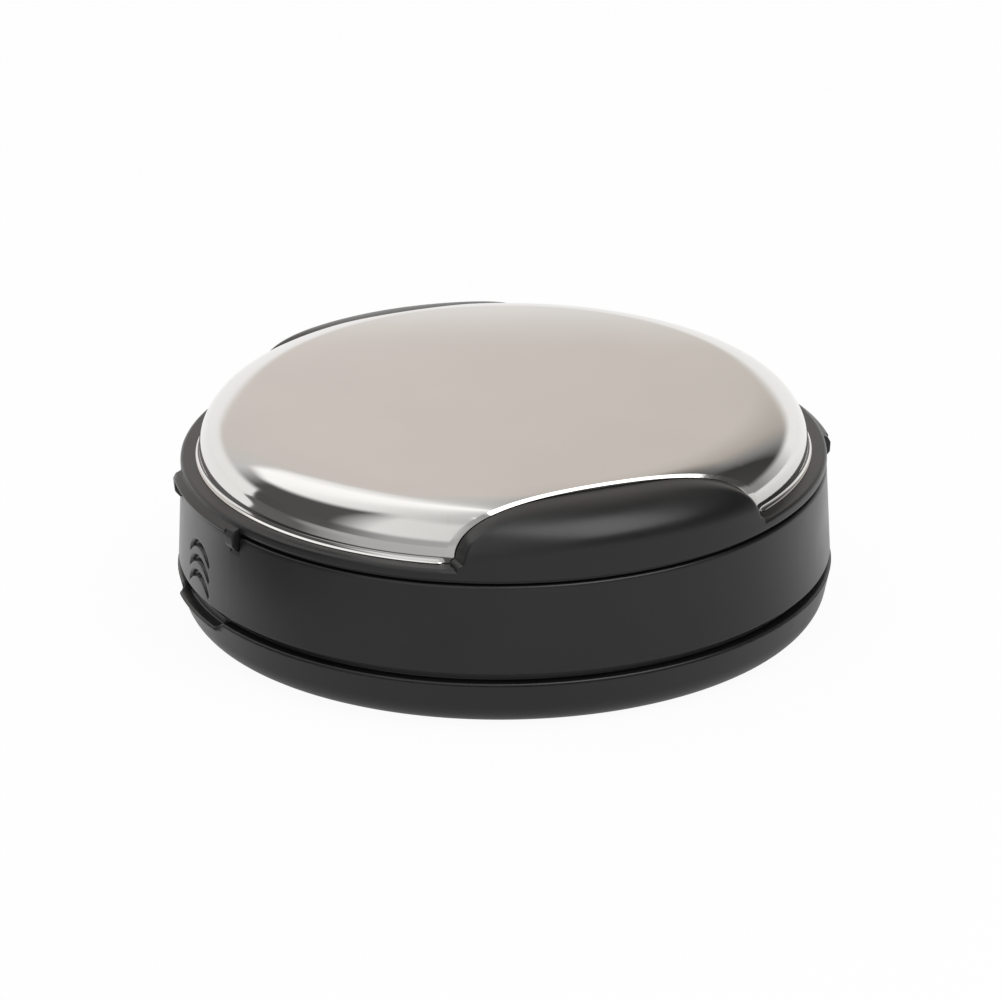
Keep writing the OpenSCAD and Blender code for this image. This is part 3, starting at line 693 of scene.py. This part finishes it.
def shell_columns(back, front_r, end_x):
    """Columns of the press shell round its axis: at the sides by angle, and along each tongue by X.

    Gives their angles inside and outside, their X, and their way along Y: 1 on the rear tongue, -1 on the
    front one and 0 at the sides. A tongue's end columns come twice, low and tall, so its ends are upright."""
    tongue_x = end_x * np.sin(np.linspace(-math.pi / 2, math.pi / 2, TONGUE_COLUMNS))
    tongue_x = np.concatenate([tongue_x[:1], tongue_x, tongue_x[-1:]])
    tall = np.ones(len(tongue_x))
    tall[[0, -1]] = 0
    lips, hooks = both_ends(SIDES, LIP_HALF, TOOTH_FROM), both_ends(CORNERS, HOOK_HALF)
    right = np.degrees(full_turn(SHELL_STEP, (lips, 5 * EDGE_GAP, EDGE_GAP), (hooks, EDGE_GAP, EDGE_GAP)))
    right = np.sort((right + 180) % 360 - 180)
    end_angle = math.degrees(math.atan2(back, end_x))
    right = np.radians(right[np.abs(right) < end_angle - 0.4])
    rear_in = np.arctan2(back, tongue_x[::-1])
    rear_out = np.arctan2(np.sqrt(front_r ** 2 - tongue_x ** 2), tongue_x)[::-1]
    none, one = np.zeros(len(right)), np.ones(len(tongue_x))
    return SimpleNamespace(inside=np.concatenate([right, rear_in, right + math.pi, rear_in + math.pi]),
                           outside=np.concatenate([right, rear_out, right + math.pi, rear_out + math.pi]),
                           x=np.concatenate([none, tongue_x[::-1], none, tongue_x])[:, None],
                           way=np.concatenate([none, one, none, -one])[:, None],
                           tall=np.concatenate([none, tall, none, tall])[:, None] > 0)


def shell_under(s, angles, band_z):
    """Lower part of the press shell: the band with a low seat in the seam, or a lip with its teeth, and then
    the skirt with its hooks and the hollow. Lips and teeth rise along the band as 1 - (1 - t)2."""
    seat_r, seat_z = s.ring_top_r - UPPER_SEAM, s.ring_z1 + SEAM_GAP
    neck = [[NECK_R, s.shell_z0], [s.collar_r, s.shell_z0]]
    start = [s.ring_top_r, band_z]
    plain = even(rounded([start, [s.ring_top_r, s.shell_z0], [seat_r, s.shell_z0], [seat_r, seat_z],
                          [NECK_R, seat_z], *neck], [0.22, 0.06, 0.06, 0.06, 0.06]), BAND_ROWS)
    lip, tooth = [even(rounded([start, [s.ring_top_r, LIP_Z], *points, *neck], radii), BAND_ROWS)
                  for points, radii in ((LIP_POINTS, LIP_RADII), (TOOTH_POINTS, TOOTH_RADII))]
    side = np.degrees(np.abs(from_side(angles)))[:, None, None]
    in_lip, in_tooth = [1 - (1 - np.clip(depth / LIP_RISE, 0, 1)) ** 2
                        for depth in (LIP_HALF - side, side - TOOTH_FROM)]
    band = plain + in_lip * (lip - plain) + in_lip * in_tooth * (tooth - lip)
    inner = s.collar_r - s.collar_wall
    hollow = cap_curve(s, s.core_off + SHELL_WALL, 9)[::-1]
    hollow_r = hollow[0, 0]
    web_z = s.ledge_z - SHELL_WALL
    skirt = rounded([[s.collar_r, s.shell_z0], [s.collar_r, HOOK_TOP + FINE_MARGIN],
                     [s.collar_r, HOOK_TOP - FINE_MARGIN], [s.collar_r, s.skirt_z0], [inner, s.skirt_z0],
                     [inner, web_z - inner + hollow_r], [hollow_r, web_z], hollow[0]],
                    [0, 0, 0.1, 0.15, 0.3, 0.3])
    skirt_r, skirt_z = np.concatenate([skirt, hollow[1:]]).T
    hook = smooth(HOOK_HALF + EDGE_GAP / 2, HOOK_HALF - EDGE_GAP / 2, from_corner(angles))
    hooked = (skirt_r > s.collar_r - MARGIN) & (skirt_z < HOOK_TOP)
    return np.concatenate([turned(angles, band[..., 0], band[..., 1]),
                           turned(angles, skirt_r + HOOK_OUT * hook * hooked, skirt_z)], axis=1)


def shell_skin(s):
    """Press shell: columns run from the middle over the dome to the ledge or up the back of a tongue, over
    the tongue along Y, and down to the band and what lies under it.

    A tongue's height is the lesser of a quarter ellipse over the radius and the cap's cut edge along X, with
    the corner between them eased. Its upright front falls as a parabola to the ends, which are rounded."""
    back, front_r = s.cap_cut_y + TONGUE_GAP, s.ring_top_r - TONGUE_INSET
    cut_curve = cap_curve(s, s.tongue_drop)
    outer = cut_curve[cut_curve[:, 0] > s.cap_cut_y]
    edge_x = np.sqrt(outer[:, 0] ** 2 - s.cap_cut_y ** 2)
    end_x = edge_x[-1] + TONGUE_PAST
    columns = shell_columns(back, front_r, end_x)
    x, tall, straight = columns.x, columns.tall, columns.way != 0

    core = cap_curve(s, s.core_off)
    core_r = core[-1, 0]
    core = np.concatenate([core, [[core_r, s.ledge_z]]])
    shelf_end = s.ring_top_r - LEDGE_STRIP
    back_r = np.where(straight, np.hypot(x, back), shelf_end)
    stop = np.where(tall & (back_r < core_r), np.interp(back_r, core[:-1, 0], lengths(core)[:-1]),
                    lengths(core)[-1])
    dome = along(core, np.linspace(0, 1, DOME_ROWS) ** 0.8 * stop)
    dome_r, dome_z = dome[:, -1, :1], dome[:, -1, 1:]
    shelf_r = np.maximum(back_r, dome_r)

    arch = np.interp(np.abs(x), edge_x, outer[:, 1])
    depth = front_r - s.cap_cut_y
    lean = np.arcsin(np.clip((back_r - s.cap_cut_y) / depth, 0, 1))
    lean = lean + (math.pi / 2 - lean) * np.linspace(0, 1, TOP_ROWS)
    front_z = s.tongue_front + (s.ledge_z + TONGUE_FRONT_END - s.tongue_front) * (x / end_x) ** 2
    crown = np.interp(s.cap_cut_y, cut_curve[:, 0], cut_curve[:, 1])
    rise = front_z + (crown - s.tongue_drop - front_z) * np.cos(lean)
    mix = np.clip(0.5 + 0.5 * (arch - rise) / TONGUE_EASE, 0, 1)
    tongue_z = arch * (1 - mix) + rise * mix - TONGUE_EASE * mix * (1 - mix)
    end_share = np.sqrt(1 - (1 - np.clip((end_x - np.abs(x)) / TONGUE_ROUND, 0, 1)) ** 2)
    end_z = s.ledge_z + TONGUE_TOP_END
    tongue_z = end_z + (tongue_z - end_z) * end_share

    band_z = s.ledge_z - LEDGE_EDGE
    corners = [[shelf_end, s.ledge_z], [s.ring_top_r, s.ledge_z], [s.ring_top_r, band_z]]
    ledge_r, ledge_z = even(rounded(corners, [LEDGE_EDGE]), TOP_ROWS).T
    share = (ledge_r - shelf_end) / LEDGE_STRIP
    flat_r = np.where(straight, shelf_r + share * (s.ring_top_r - shelf_r), ledge_r)
    over_r = np.where(tall, s.cap_cut_y + depth * np.sin(lean), flat_r)
    over_z = np.where(tall, tongue_z, ledge_z)
    over_y = np.sqrt(np.maximum(over_r ** 2 - x ** 2, 0)) * columns.way
    over = np.where(straight[..., None], np.stack([x + 0 * over_r, over_y, over_z], -1),
                    turned(columns.outside, over_r, over_z))

    climb = np.linspace(0, 1, RISER_ROWS)
    shelf = turned(columns.inside, dome_r + (shelf_r - dome_r) * climb, dome_z)
    riser = turned(columns.inside, shelf_r, dome_z + (over_z[:, :1] - dome_z) * climb)
    brow_r, brow_z = over_r[:, -1:], over_z[:, -1:]
    front = turned(columns.outside, brow_r + (s.ring_top_r - brow_r) * climb,
                   brow_z + (band_z - brow_z) * climb)
    return closed_skin(np.concatenate([turned(columns.inside, dome[..., 0], dome[..., 1]), shelf, riser, over,
                                       front, shell_under(s, columns.outside, band_z)], axis=1))


def posts_skin(circle_r, radius, bore, low, high, edge=0.12):
    """Four hollow posts at the corners of a square: a rounded section turned about each post's own axis."""
    corners = [[bore, high], [bore, low], [radius, low], [radius, high], [bore, high]]
    section = rounded(corners, [edge, edge, 0])
    around = np.linspace(0, 2 * math.pi, POST_COLUMNS, endpoint=False)
    tube = turned(around, *section.T)
    skin = Skin()
    for corner in np.radians(CORNERS):
        skin.grid(tube + circle_r * np.array([math.cos(corner), math.sin(corner), 0]), closed=True)
    return skin


def cap_skin(s):
    """Steel cap: three layers of one closed loop, the outer face, the lower line of its chamfered edge and
    the inner face. Each is the cap's curve at its own depth, turned about the axis out to its circle or cuts.

    Along the sides the wall runs down from the outer layer, and its foot flares out as an arc. Along the cuts
    a strip through the three layers closes the sheet, and the same strip runs down each corner."""
    ends = np.array([0.979, 0.986, 0.993, 1])
    sides = np.concatenate([-ends[::-1], np.linspace(-0.972, 0.972, CAP_SIDE_COLUMNS), ends])
    cuts = (0.5 - 0.5 * np.cos(np.linspace(0, math.pi, CAP_CUT_COLUMNS + 2)))[1:-1]
    layers = []
    for depth, cut in ((0, s.cap_cut_y - s.cap_chamfer), (0.45 * s.cap_chamfer, s.cap_cut_y),
                       (s.cap_wall, s.cap_cut_y)):
        curve = cap_curve(s, depth)
        corner = math.asin(cut / (s.cap_r - depth))
        half = np.concatenate([corner * sides, corner + (math.pi - 2 * corner) * cuts])
        angles = np.concatenate([half, half + math.pi])
        reach = np.minimum(curve[-1, 0], cut / np.maximum(np.abs(np.sin(angles)), 1e-9))
        layers.append((curve, angles, np.interp(reach, curve[:, 0], lengths(curve))))
    skin = Skin()
    for (curve, angles, stop), count in ((layers[0], CAP_OUTER_ROWS), (layers[2], CAP_INNER_ROWS)):
        spread = along(curve, stop[:, None] * np.linspace(0, 1, count) ** 0.6)
        skin.grid(turned(angles, spread[..., 0], spread[..., 1]), closed=True)
    edges = [(angles, along(curve, stop)) for curve, angles, stop in layers]
    strip = np.concatenate([turned(angles, edge[:, :1], edge[:, 1:]) for angles, edge in edges], axis=1)
    fall = np.linspace(0, 1, CAP_WALL_ROWS)
    wall_h = edges[0][1][0, 1] - s.cap_z0
    below = np.maximum(0, fall * wall_h - (wall_h - s.cap_flare_h))
    arc_r = (s.cap_flare ** 2 + s.cap_flare_h ** 2) / (2 * s.cap_flare)
    flare = (arc_r - np.sqrt(arc_r ** 2 - below ** 2)) * smooth(1, 0.97, np.abs(sides))[:, None]
    for first in (0, len(sides) + len(cuts)):
        side = np.arange(first, first + len(sides))
        down = []
        for (angles, edge), out in zip(edges, (flare, 0, 0)):
            top_z = edge[side, 1:]
            down.append(turned(angles[side], edge[side, :1] + out, top_z + (s.cap_z0 - top_z) * fall))
        skin.grid(down[0])
        skin.grid(down[2])
        skin.grid(np.stack([wall[:, -1] for wall in down], axis=1))
        for corner in (0, -1):
            skin.grid(np.stack([wall[corner] for wall in down], axis=1))
        cut = np.arange(first + len(sides) - 1, first + len(sides) + len(cuts) + 1) % len(strip)
        skin.grid(strip[cut])
    return skin


def spring_skin(s, middle, low, high):
    """Return spring: a circle carried along a helix, square to it, with its two ends closed by a point."""
    per_turn, sides = 28, 12
    wire = s.wire_d / 2
    turn = np.linspace(0, 2 * math.pi * s.spring_turns, per_turn * s.spring_turns + 1)
    pitch = (high - low - s.wire_d) / (2 * math.pi * s.spring_turns)
    centre = np.stack([s.coil_r * np.cos(turn), s.coil_r * np.sin(turn), low + wire + pitch * turn], -1)
    out = np.stack([np.cos(turn), np.sin(turn), 0 * turn], -1)
    ahead = np.stack([-s.coil_r * np.sin(turn), s.coil_r * np.cos(turn), pitch + 0 * turn], -1)
    ahead /= np.linalg.norm(ahead, axis=1)[:, None]
    up = np.cross(out, ahead)
    a = np.linspace(0, 2 * math.pi, sides + 1)[None, :, None]
    rings = centre[:, None] + wire * (np.cos(a) * out[:, None] + np.sin(a) * up[:, None])
    ends = np.broadcast_to(centre[[0, -1]][:, None], (2, sides + 1, 3))
    skin = Skin()
    skin.grid(np.concatenate([ends[:1], rings, ends[1:]]) + np.array([*middle, 0]))
    return skin


def pad_skin(node, edge, crown, lumps):
    """Round pad in a CAD node's place: a flat foot, a rounded edge and a top that crowns as 1 - (r/R)2, with
    small even lumps that are the product of two sines."""
    (_, _, low), (radius, _, high) = box_mm(node)
    corners = [[0, low], [radius, low], [radius, high - crown], [0, high - crown]]
    path = even(rounded(corners, [edge * 0.6, edge], steps=8), PAD_ROWS)
    angles = full_turn(PAD_STEP)
    r, z = path.T
    upper = smooth((low + high) / 2, high - crown, z)
    x, y = r * np.cos(angles)[:, None], r * np.sin(angles)[:, None]
    waves = np.sin(x * LUMP_WAVES[0]) * np.sin(y * LUMP_WAVES[1])
    swell = crown * (1 - (r / radius) ** 2) + lumps * (waves - 1) * (1 - (r / radius) ** 8)
    return closed_skin(turned(angles, r, z + upper * swell))


# Operators


class STAMP_OT_base_cover(bpy.types.Operator):
    """Builds the black base cover with its nail dips, collar and ribs"""
    bl_idname = "stamp.base_cover"
    bl_label = "Base cover"

    def execute(self, context):
        s = in_mm(context.scene.stamp_sizes)
        colour = context.scene.stamp_finishes.abs_black
        black = moulded_abs("moulded_abs_base", colour, rough=0.36, spark=0.12)
        piece("base_bowl", base_skin(s), "base", black, "black_abs", "base_cover")
        return {"FINISHED"}


class STAMP_OT_ink_pad(bpy.types.Operator):
    """Builds the felt and the cloth of the ink pad and finishes its tray"""
    bl_idname = "stamp.ink_pad"
    bl_label = "Ink pad"

    def execute(self, context):
        finishes = context.scene.stamp_finishes
        grey = moulded_abs("moulded_abs_tray", finishes.abs_grey, rough=0.45, spark=0.15)
        paint_node("ink_pad_tray", grey)
        felt = piece("pad_felt", pad_skin("ink_pad_felt", edge=0.4, crown=0.05, lumps=0.02), "base",
                     pressed_felt(finishes.felt), "felt", "ink_pad_felt")
        cloth = piece("pad_cover", pad_skin("ink_pad_cloth", edge=0.2, crown=0.1, lumps=0.01), "base",
                      pad_cloth(finishes.cloth), "pad_cloth", "ink_pad_cloth")
        return {"FINISHED"}


class STAMP_OT_body_ring(bpy.types.Operator):
    """Builds the black body ring and finishes the spring frame inside it"""
    bl_idname = "stamp.body_ring"
    bl_label = "Body ring"

    def execute(self, context):
        s = in_mm(context.scene.stamp_sizes)
        finishes = context.scene.stamp_finishes
        black = moulded_abs("moulded_abs_ring", finishes.abs_black, rough=0.31, spark=0.15)
        piece("ring_wall", ring_skin(s), "housing", black, "black_abs", "body_ring")
        grey = moulded_abs("moulded_abs_frame", finishes.abs_grey, rough=0.42, spark=0.12)
        paint_node("spring_frame", grey)
        return {"FINISHED"}


class STAMP_OT_return_springs(bpy.types.Operator):
    """Winds the four return springs between the housing and the plunger"""
    bl_idname = "stamp.return_springs"
    bl_label = "Return springs"

    def execute(self, context):
        s = in_mm(context.scene.stamp_sizes)
        steel = drawn_steel("drawn_spring_steel", context.scene.stamp_finishes.steel, rough=0.25)
        for number in range(1, 5):
            node = f"return_spring_{number}"
            low, high = box_mm(node)
            middle = (low[:2] + high[:2]) / 2
            spring = piece(f"coil_{number}", spring_skin(s, middle, low[2], high[2]), None, steel,
                           "spring_steel", node)
            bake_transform(spring)
        return {"FINISHED"}


class STAMP_OT_press_shell(bpy.types.Operator):
    """Builds the black press shell with its tongues, lips, cups and bosses"""
    bl_idname = "stamp.press_shell"
    bl_label = "Press shell"

    def execute(self, context):
        s = in_mm(context.scene.stamp_sizes)
        colour = context.scene.stamp_finishes.abs_black
        black = moulded_abs("moulded_abs_shell", colour, rough=0.34, spark=0.08)
        piece("shell_top", shell_skin(s), "plunger", black, "black_abs", "press_shell")
        cups = posts_skin(circle_r=22.445, radius=2.5, bore=1.945, low=14.1, high=17.7)
        piece("shell_cups", cups, "plunger", black, "black_abs")
        bosses = posts_skin(circle_r=14.0, radius=2.2, bore=0.95, low=10.2, high=18.4)
        piece("shell_bosses", bosses, "plunger", black, "black_abs")
        return {"FINISHED"}


class STAMP_OT_stamp_plate(bpy.types.Operator):
    """Builds the foam cushion and finishes die, holder and screws"""
    bl_idname = "stamp.stamp_plate"
    bl_label = "Stamp plate"

    def execute(self, context):
        finishes = context.scene.stamp_finishes
        foam = piece("plate_foam", pad_skin("die_cushion", edge=0.3, crown=0.02, lumps=0.01), "plunger",
                     foam_rubber(finishes.foam), "foam", "die_cushion")
        grey = moulded_abs("moulded_abs_holder", finishes.abs_grey, rough=0.42, spark=0.12)
        paint_node("die_holder", grey)
        paint_node("holder_screws", drawn_steel("zinc_plated_steel", finishes.steel, rough=0.32))
        paint_node("rubber_die", die_rubber(finishes.rubber))
        return {"FINISHED"}


class STAMP_OT_steel_cap(bpy.types.Operator):
    """Builds the steel cap with its straight front and rear cuts and finishes the tape under it"""
    bl_idname = "stamp.steel_cap"
    bl_label = "Steel cap"

    def execute(self, context):
        finishes = context.scene.stamp_finishes
        cap = piece("cap_sheet", cap_skin(in_mm(context.scene.stamp_sizes)), "plunger",
                    polished_stainless(finishes.stainless), "cap_steel", "steel_cap")
        cap.data.set_sharp_from_angle(angle=CAP_HARD_EDGE)
        paint_node("cap_tape", film_tape(finishes.tape))
        return {"FINISHED"}


# Stage


def direction(azimuth, elevation):
    """Unit vector from the stamp by its turn from the front and its angle above the floor, in radians."""
    flat = math.cos(elevation)
    return np.array([math.sin(azimuth) * flat, -math.cos(azimuth) * flat, math.sin(elevation)])


def area_light(name, azimuth, elevation, distance, size, radiance):
    """A rectangular soft light that faces the stamp. Its power is radiance times pi times its area."""
    data = bpy.data.lights.new(name, "AREA")
    data.shape = "RECTANGLE"
    data.size, data.size_y = size
    data.energy = radiance * math.pi * size[0] * size[1]
    light = bpy.data.objects.new(name, data)
    towards = direction(math.radians(azimuth), math.radians(elevation))
    side = np.cross([0, 0, 1], towards)
    side /= np.linalg.norm(side)
    up = np.cross(towards, side)
    axes = Matrix(np.column_stack([side, up, towards]).tolist())
    light.matrix_world = Matrix.Translation((towards * distance).tolist()) @ axes.to_4x4()
    light.visible_camera = False
    bpy.context.scene.collection.objects.link(light)


def colour_ramp(tree, place, stops):
    """A ramp over a place from 0 to 1, whose stops give a grey level or red, green and blue."""
    ramp = add_node(tree, "ShaderNodeValToRGB", {"Fac": place})
    while len(ramp.color_ramp.elements) < len(stops):
        ramp.color_ramp.elements.new(0.5)
    for element, (spot, level) in zip(ramp.color_ramp.elements, stops):
        element.position = spot
        element.color = (*(level if isinstance(level, tuple) else (level, level, level)), 1)
    return ramp.outputs["Color"]


def room_place(tree, way, azimuth):
    """Place of a direction in the room, from 0 at the camera's side by the left (0.25) and the back to 1, and
    its height."""
    aligned = add_node(tree, "ShaderNodeVectorRotate", {"Vector": way, "Angle": -azimuth},
                       rotation_type="Z_AXIS")
    axes = add_node(tree, "ShaderNodeSeparateXYZ", {"Vector": aligned.outputs[0]}).outputs
    turn = add_node(tree, "ShaderNodeMath", {0: axes["X"], 1: axes["Y"]}, operation="ARCTAN2").outputs[0]
    place = add_node(tree, "ShaderNodeMath", {0: turn, 1: 0.5 / math.pi, 2: 0.5}, operation="MULTIPLY_ADD")
    return place.outputs[0], axes["Z"]


def rising(tree, value, start, end):
    """A smooth step from 0 to 1 between two values."""
    return add_node(tree, "ShaderNodeMapRange", {"Value": value, "From Min": start, "From Max": end},
                    interpolation_type="SMOOTHSTEP").outputs["Result"]


# Brightness of the room near the floor: a lit backdrop behind the stamp, dark at the left, dim at the right
ROOM_LOW = [(0, 0.5), (0.12, 0.42), (0.185, 0.1), (0.289, 0.08), (0.292, 0.98), (0.62, 1.0), (0.655, 0.6),
            (0.7, 0.3), (0.85, 0.3), (1, 0.5)]
# Brightness higher up: a window at the front left, a warm wall behind and dark sides
ROOM_HIGH = [(0, 0.5), (0.06, 0.85), (0.14, 0.9), (0.19, 0.09), (0.3, 0.09), (0.345, 0.66),
             (0.41, (0.735, 0.68, 0.65)), (0.49, (0.735, 0.68, 0.645)), (0.53, (0.65, 0.61, 0.57)),
             (0.58, (0.52, 0.48, 0.44)), (0.615, 0.27), (0.645, 0.05), (0.85, 0.1), (1, 0.5)]
# Brightness overhead: a bright ceiling at the left rear that fades towards the right
ROOM_TOP = [(0, 0.5), (0.1, 0.7), (0.25, 1.0), (0.31, 1.22), (0.355, 1.28), (0.39, 1.0), (0.42, 0.78),
            (0.46, 0.64), (0.51, 0.55), (0.55, 0.12), (0.75, 0.1), (0.9, 0.2), (1, 0.5)]
# Height at which the ceiling starts, as the sine of the angle above the floor
ROOM_EDGE = [(0, 0.8), (0.183, 0.81), (0.25, 0.66), (0.317, 0.48), (0.35, 0.5), (0.42, 0.93), (0.51, 0.9),
             (0.535, 0.74), (0.6, 0.72), (0.75, 0.72), (1, 0.8)]
# Heights between which the lower room gives way to the upper one, and half the blend at the ceiling's edge
WALL_BLEND = (0.16, 0.3)
CEILING_BLEND = 0.07
# Painted reflection: brightness the floor glows with where gloss mirrors it, beside the stamp and further
# off:
# white behind and at the left, greyer towards the camera, and dark further off at the front left
FLOOR_NEAR = [(0, 0.52), (0.14, 0.52), (0.19, 0.74), (0.24, 1.0), (0.62, 1.0), (0.68, 0.95), (0.8, 0.58),
              (1, 0.52)]
FLOOR_FAR = [(0, 0.55), (0.12, 0.48), (0.16, 0.3), (0.185, 0.1), (0.247, 0.1), (0.25, 0.98), (0.62, 1.0),
             (0.68, 0.85), (0.8, 0.6), (1, 0.6)]
# Distances in metres where near gives way to far and where the far ramp drifts round, and how far it drifts
FLOOR_BLEND = (0.046, 0.054)
FLOOR_DRIFT = (0.04, 0.22)
DRIFT = -0.042
# Paper of the floor: its colour, the light that lifts it to white and that light's share
PAPER = "#d8d8d8"
PAPER_GLOW = 1.03
GLOW_SHARE = 0.92
# Floor: its height in millimetres and the step of its columns in degrees
FLOOR_Z = -0.02
FLOOR_STEP = 5.0
# Width of the camera's sensor in millimetres
SENSOR_W = 36


def studio_world(stage):
    """A room round the stamp with a soft lit ceiling. The camera itself sees plain white."""
    world = bpy.data.worlds.new("studio")
    world.use_nodes = True
    tree = world.node_tree
    tree.nodes.clear()
    way = add_node(tree, "ShaderNodeTexCoord").outputs["Generated"]
    place, up = room_place(tree, way, stage.azimuth)
    edge, low, high, top = [colour_ramp(tree, place, stops)
                            for stops in (ROOM_EDGE, ROOM_LOW, ROOM_HIGH, ROOM_TOP)]
    above = add_node(tree, "ShaderNodeMath", {0: up, 1: edge}, operation="SUBTRACT").outputs[0]
    walls = add_node(tree, "ShaderNodeMix", {0: rising(tree, up, *WALL_BLEND), 6: low, 7: high},
                     data_type="RGBA").outputs[2]
    ceiling = rising(tree, above, -CEILING_BLEND, CEILING_BLEND)
    room = add_node(tree, "ShaderNodeMix", {0: ceiling, 6: walls, 7: top}, data_type="RGBA").outputs[2]
    lit = add_node(tree, "ShaderNodeBackground", {"Color": room, "Strength": 1.0})
    seen = add_node(tree, "ShaderNodeBackground", {"Color": (1, 1, 1, 1), "Strength": 1.0})
    path = add_node(tree, "ShaderNodeLightPath")
    mix = add_node(tree, "ShaderNodeMixShader", {0: path.outputs["Is Camera Ray"], 1: lit.outputs[0],
                                                 2: seen.outputs[0]})
    add_node(tree, "ShaderNodeOutputWorld", {"Surface": mix.outputs[0]})
    bpy.context.scene.world = world


def white_floor(stage):
    """White paper: plain diffuse, lifted to white for the camera except where the stamp shades it. Where
    gloss mirrors it, it glows with a painted reflection that is toned by its place."""
    material, tree, coords = blank_material("white_studio_paper")
    fibres = grain(tree, coords, 3.0)
    colour = linear(PAPER)
    paper = add_node(tree, "ShaderNodeBsdfDiffuse",
                     {"Color": between(tree, fibres, shade(colour, 0.99), shade(colour, 1.01))})
    path = add_node(tree, "ShaderNodeLightPath")
    gloss = path.outputs["Is Glossy Ray"]
    place = room_place(tree, coords, stage.azimuth)[0]
    reach = add_node(tree, "ShaderNodeVectorMath", {0: coords}, operation="LENGTH").outputs["Value"]
    drift = rising(tree, reach, *FLOOR_DRIFT)
    further = add_node(tree, "ShaderNodeMath", {0: drift, 1: DRIFT, 2: place}, operation="MULTIPLY_ADD")
    # Painted reflection: the tone the floor glows with for glossy rays, by its place and its distance from
    # the stamp
    near = colour_ramp(tree, place, FLOOR_NEAR)
    far = colour_ramp(tree, further.outputs[0], FLOOR_FAR)
    sheet = add_node(tree, "ShaderNodeMix", {0: rising(tree, reach, *FLOOR_BLEND), 6: near, 7: far},
                     data_type="RGBA").outputs[2]
    seen = add_node(tree, "ShaderNodeMix", {0: gloss, 6: (1, 1, 1, 1), 7: sheet}, data_type="RGBA").outputs[2]
    glow = add_node(tree, "ShaderNodeEmission", {"Color": seen, "Strength": PAPER_GLOW})
    # The glow lifts the paper to white for the camera and shows the painted reflection to gloss
    direct = add_node(tree, "ShaderNodeMath", {0: path.outputs["Is Camera Ray"], 1: gloss}, operation="ADD")
    share = add_node(tree, "ShaderNodeMath", {0: direct.outputs[0], 1: GLOW_SHARE}, operation="MULTIPLY")
    mix = add_node(tree, "ShaderNodeMixShader", {0: share.outputs[0], 1: paper.outputs[0],
                                                 2: glow.outputs[0]})
    add_node(tree, "ShaderNodeOutputMaterial", {"Surface": mix.outputs[0]})
    return material


class STAMP_OT_stage(bpy.types.Operator):
    """Sets up the floor, the soft light and the camera"""
    bl_idname = "stamp.stage"
    bl_label = "Stage"

    def execute(self, context):
        scene = context.scene
        stage = scene.stamp_stage
        rings = np.array([0, 0.1, 0.4, 1.0]) * stage.floor_r / MM
        skin = closed_skin(turned(full_turn(FLOOR_STEP), rings, FLOOR_Z))
        floor = bpy.data.objects.new("floor", skin.mesh("floor"))
        floor.data.materials.append(white_floor(stage))
        scene.collection.objects.link(floor)
        studio_world(stage)
        area_light("key_softbox", azimuth=31, elevation=62, distance=0.6, size=(0.44, 0.5), radiance=2.4)
        data = bpy.data.cameras.new("camera")
        data.sensor_width = SENSOR_W
        data.lens = stage.lens
        data.dof.use_dof = False
        camera = bpy.data.objects.new("camera", data)
        away = direction(stage.azimuth, stage.elevation)
        right = np.array([math.cos(stage.azimuth), math.sin(stage.azimuth), 0])
        up = np.cross(away, right)
        axes = Matrix(np.column_stack([right, up, away]).tolist())
        for axis, angle in (("X", stage.pitch), ("Y", stage.yaw), ("Z", stage.roll)):
            axes = axes @ Matrix.Rotation(angle, 3, axis)
        camera.matrix_world = Matrix.Translation((away * stage.distance).tolist()) @ axes.to_4x4()
        scene.collection.objects.link(camera)
        scene.camera = camera
        scene.view_settings.view_transform = "Standard"
        return {"FINISHED"}


class STAMP_PT_panel(bpy.types.Panel):
    """Lists the stamp's pieces and its sizes and finishes"""
    bl_idname = "STAMP_PT_panel"
    bl_label = "Pocket Stamp"
    bl_space_type = "VIEW_3D"
    bl_region_type = "UI"
    bl_category = "Pocket Stamp"

    def draw(self, context):
        column = self.layout.column()
        for operator in OPERATORS:
            column.operator(operator.bl_idname)
        for group in (context.scene.stamp_sizes, context.scene.stamp_finishes, context.scene.stamp_stage):
            box = self.layout.box().column()
            for key in group.__annotations__:
                box.prop(group, key)


GROUPS = {"stamp_sizes": StampSizes, "stamp_finishes": StampFinishes, "stamp_stage": StampStage}
OPERATORS = (STAMP_OT_stage, STAMP_OT_base_cover, STAMP_OT_ink_pad, STAMP_OT_body_ring,
             STAMP_OT_return_springs, STAMP_OT_press_shell, STAMP_OT_stamp_plate, STAMP_OT_steel_cap)
CLASSES = (*GROUPS.values(), *OPERATORS, STAMP_PT_panel)


def register():
    for kind in CLASSES:
        bpy.utils.register_class(kind)
    for key, group in GROUPS.items():
        setattr(bpy.types.Scene, key, PointerProperty(type=group))


def unregister():
    for key in GROUPS:
        delattr(bpy.types.Scene, key)
    for kind in reversed(CLASSES):
        bpy.utils.unregister_class(kind)


def main():
    register()
    bpy.ops.stamp.stage()
    bpy.ops.stamp.base_cover()
    bpy.ops.stamp.ink_pad()
    bpy.ops.stamp.body_ring()
    bpy.ops.stamp.return_springs()
    bpy.ops.stamp.press_shell()
    bpy.ops.stamp.stamp_plate()
    bpy.ops.stamp.steel_cap()


if __name__ == "__main__":
    main()
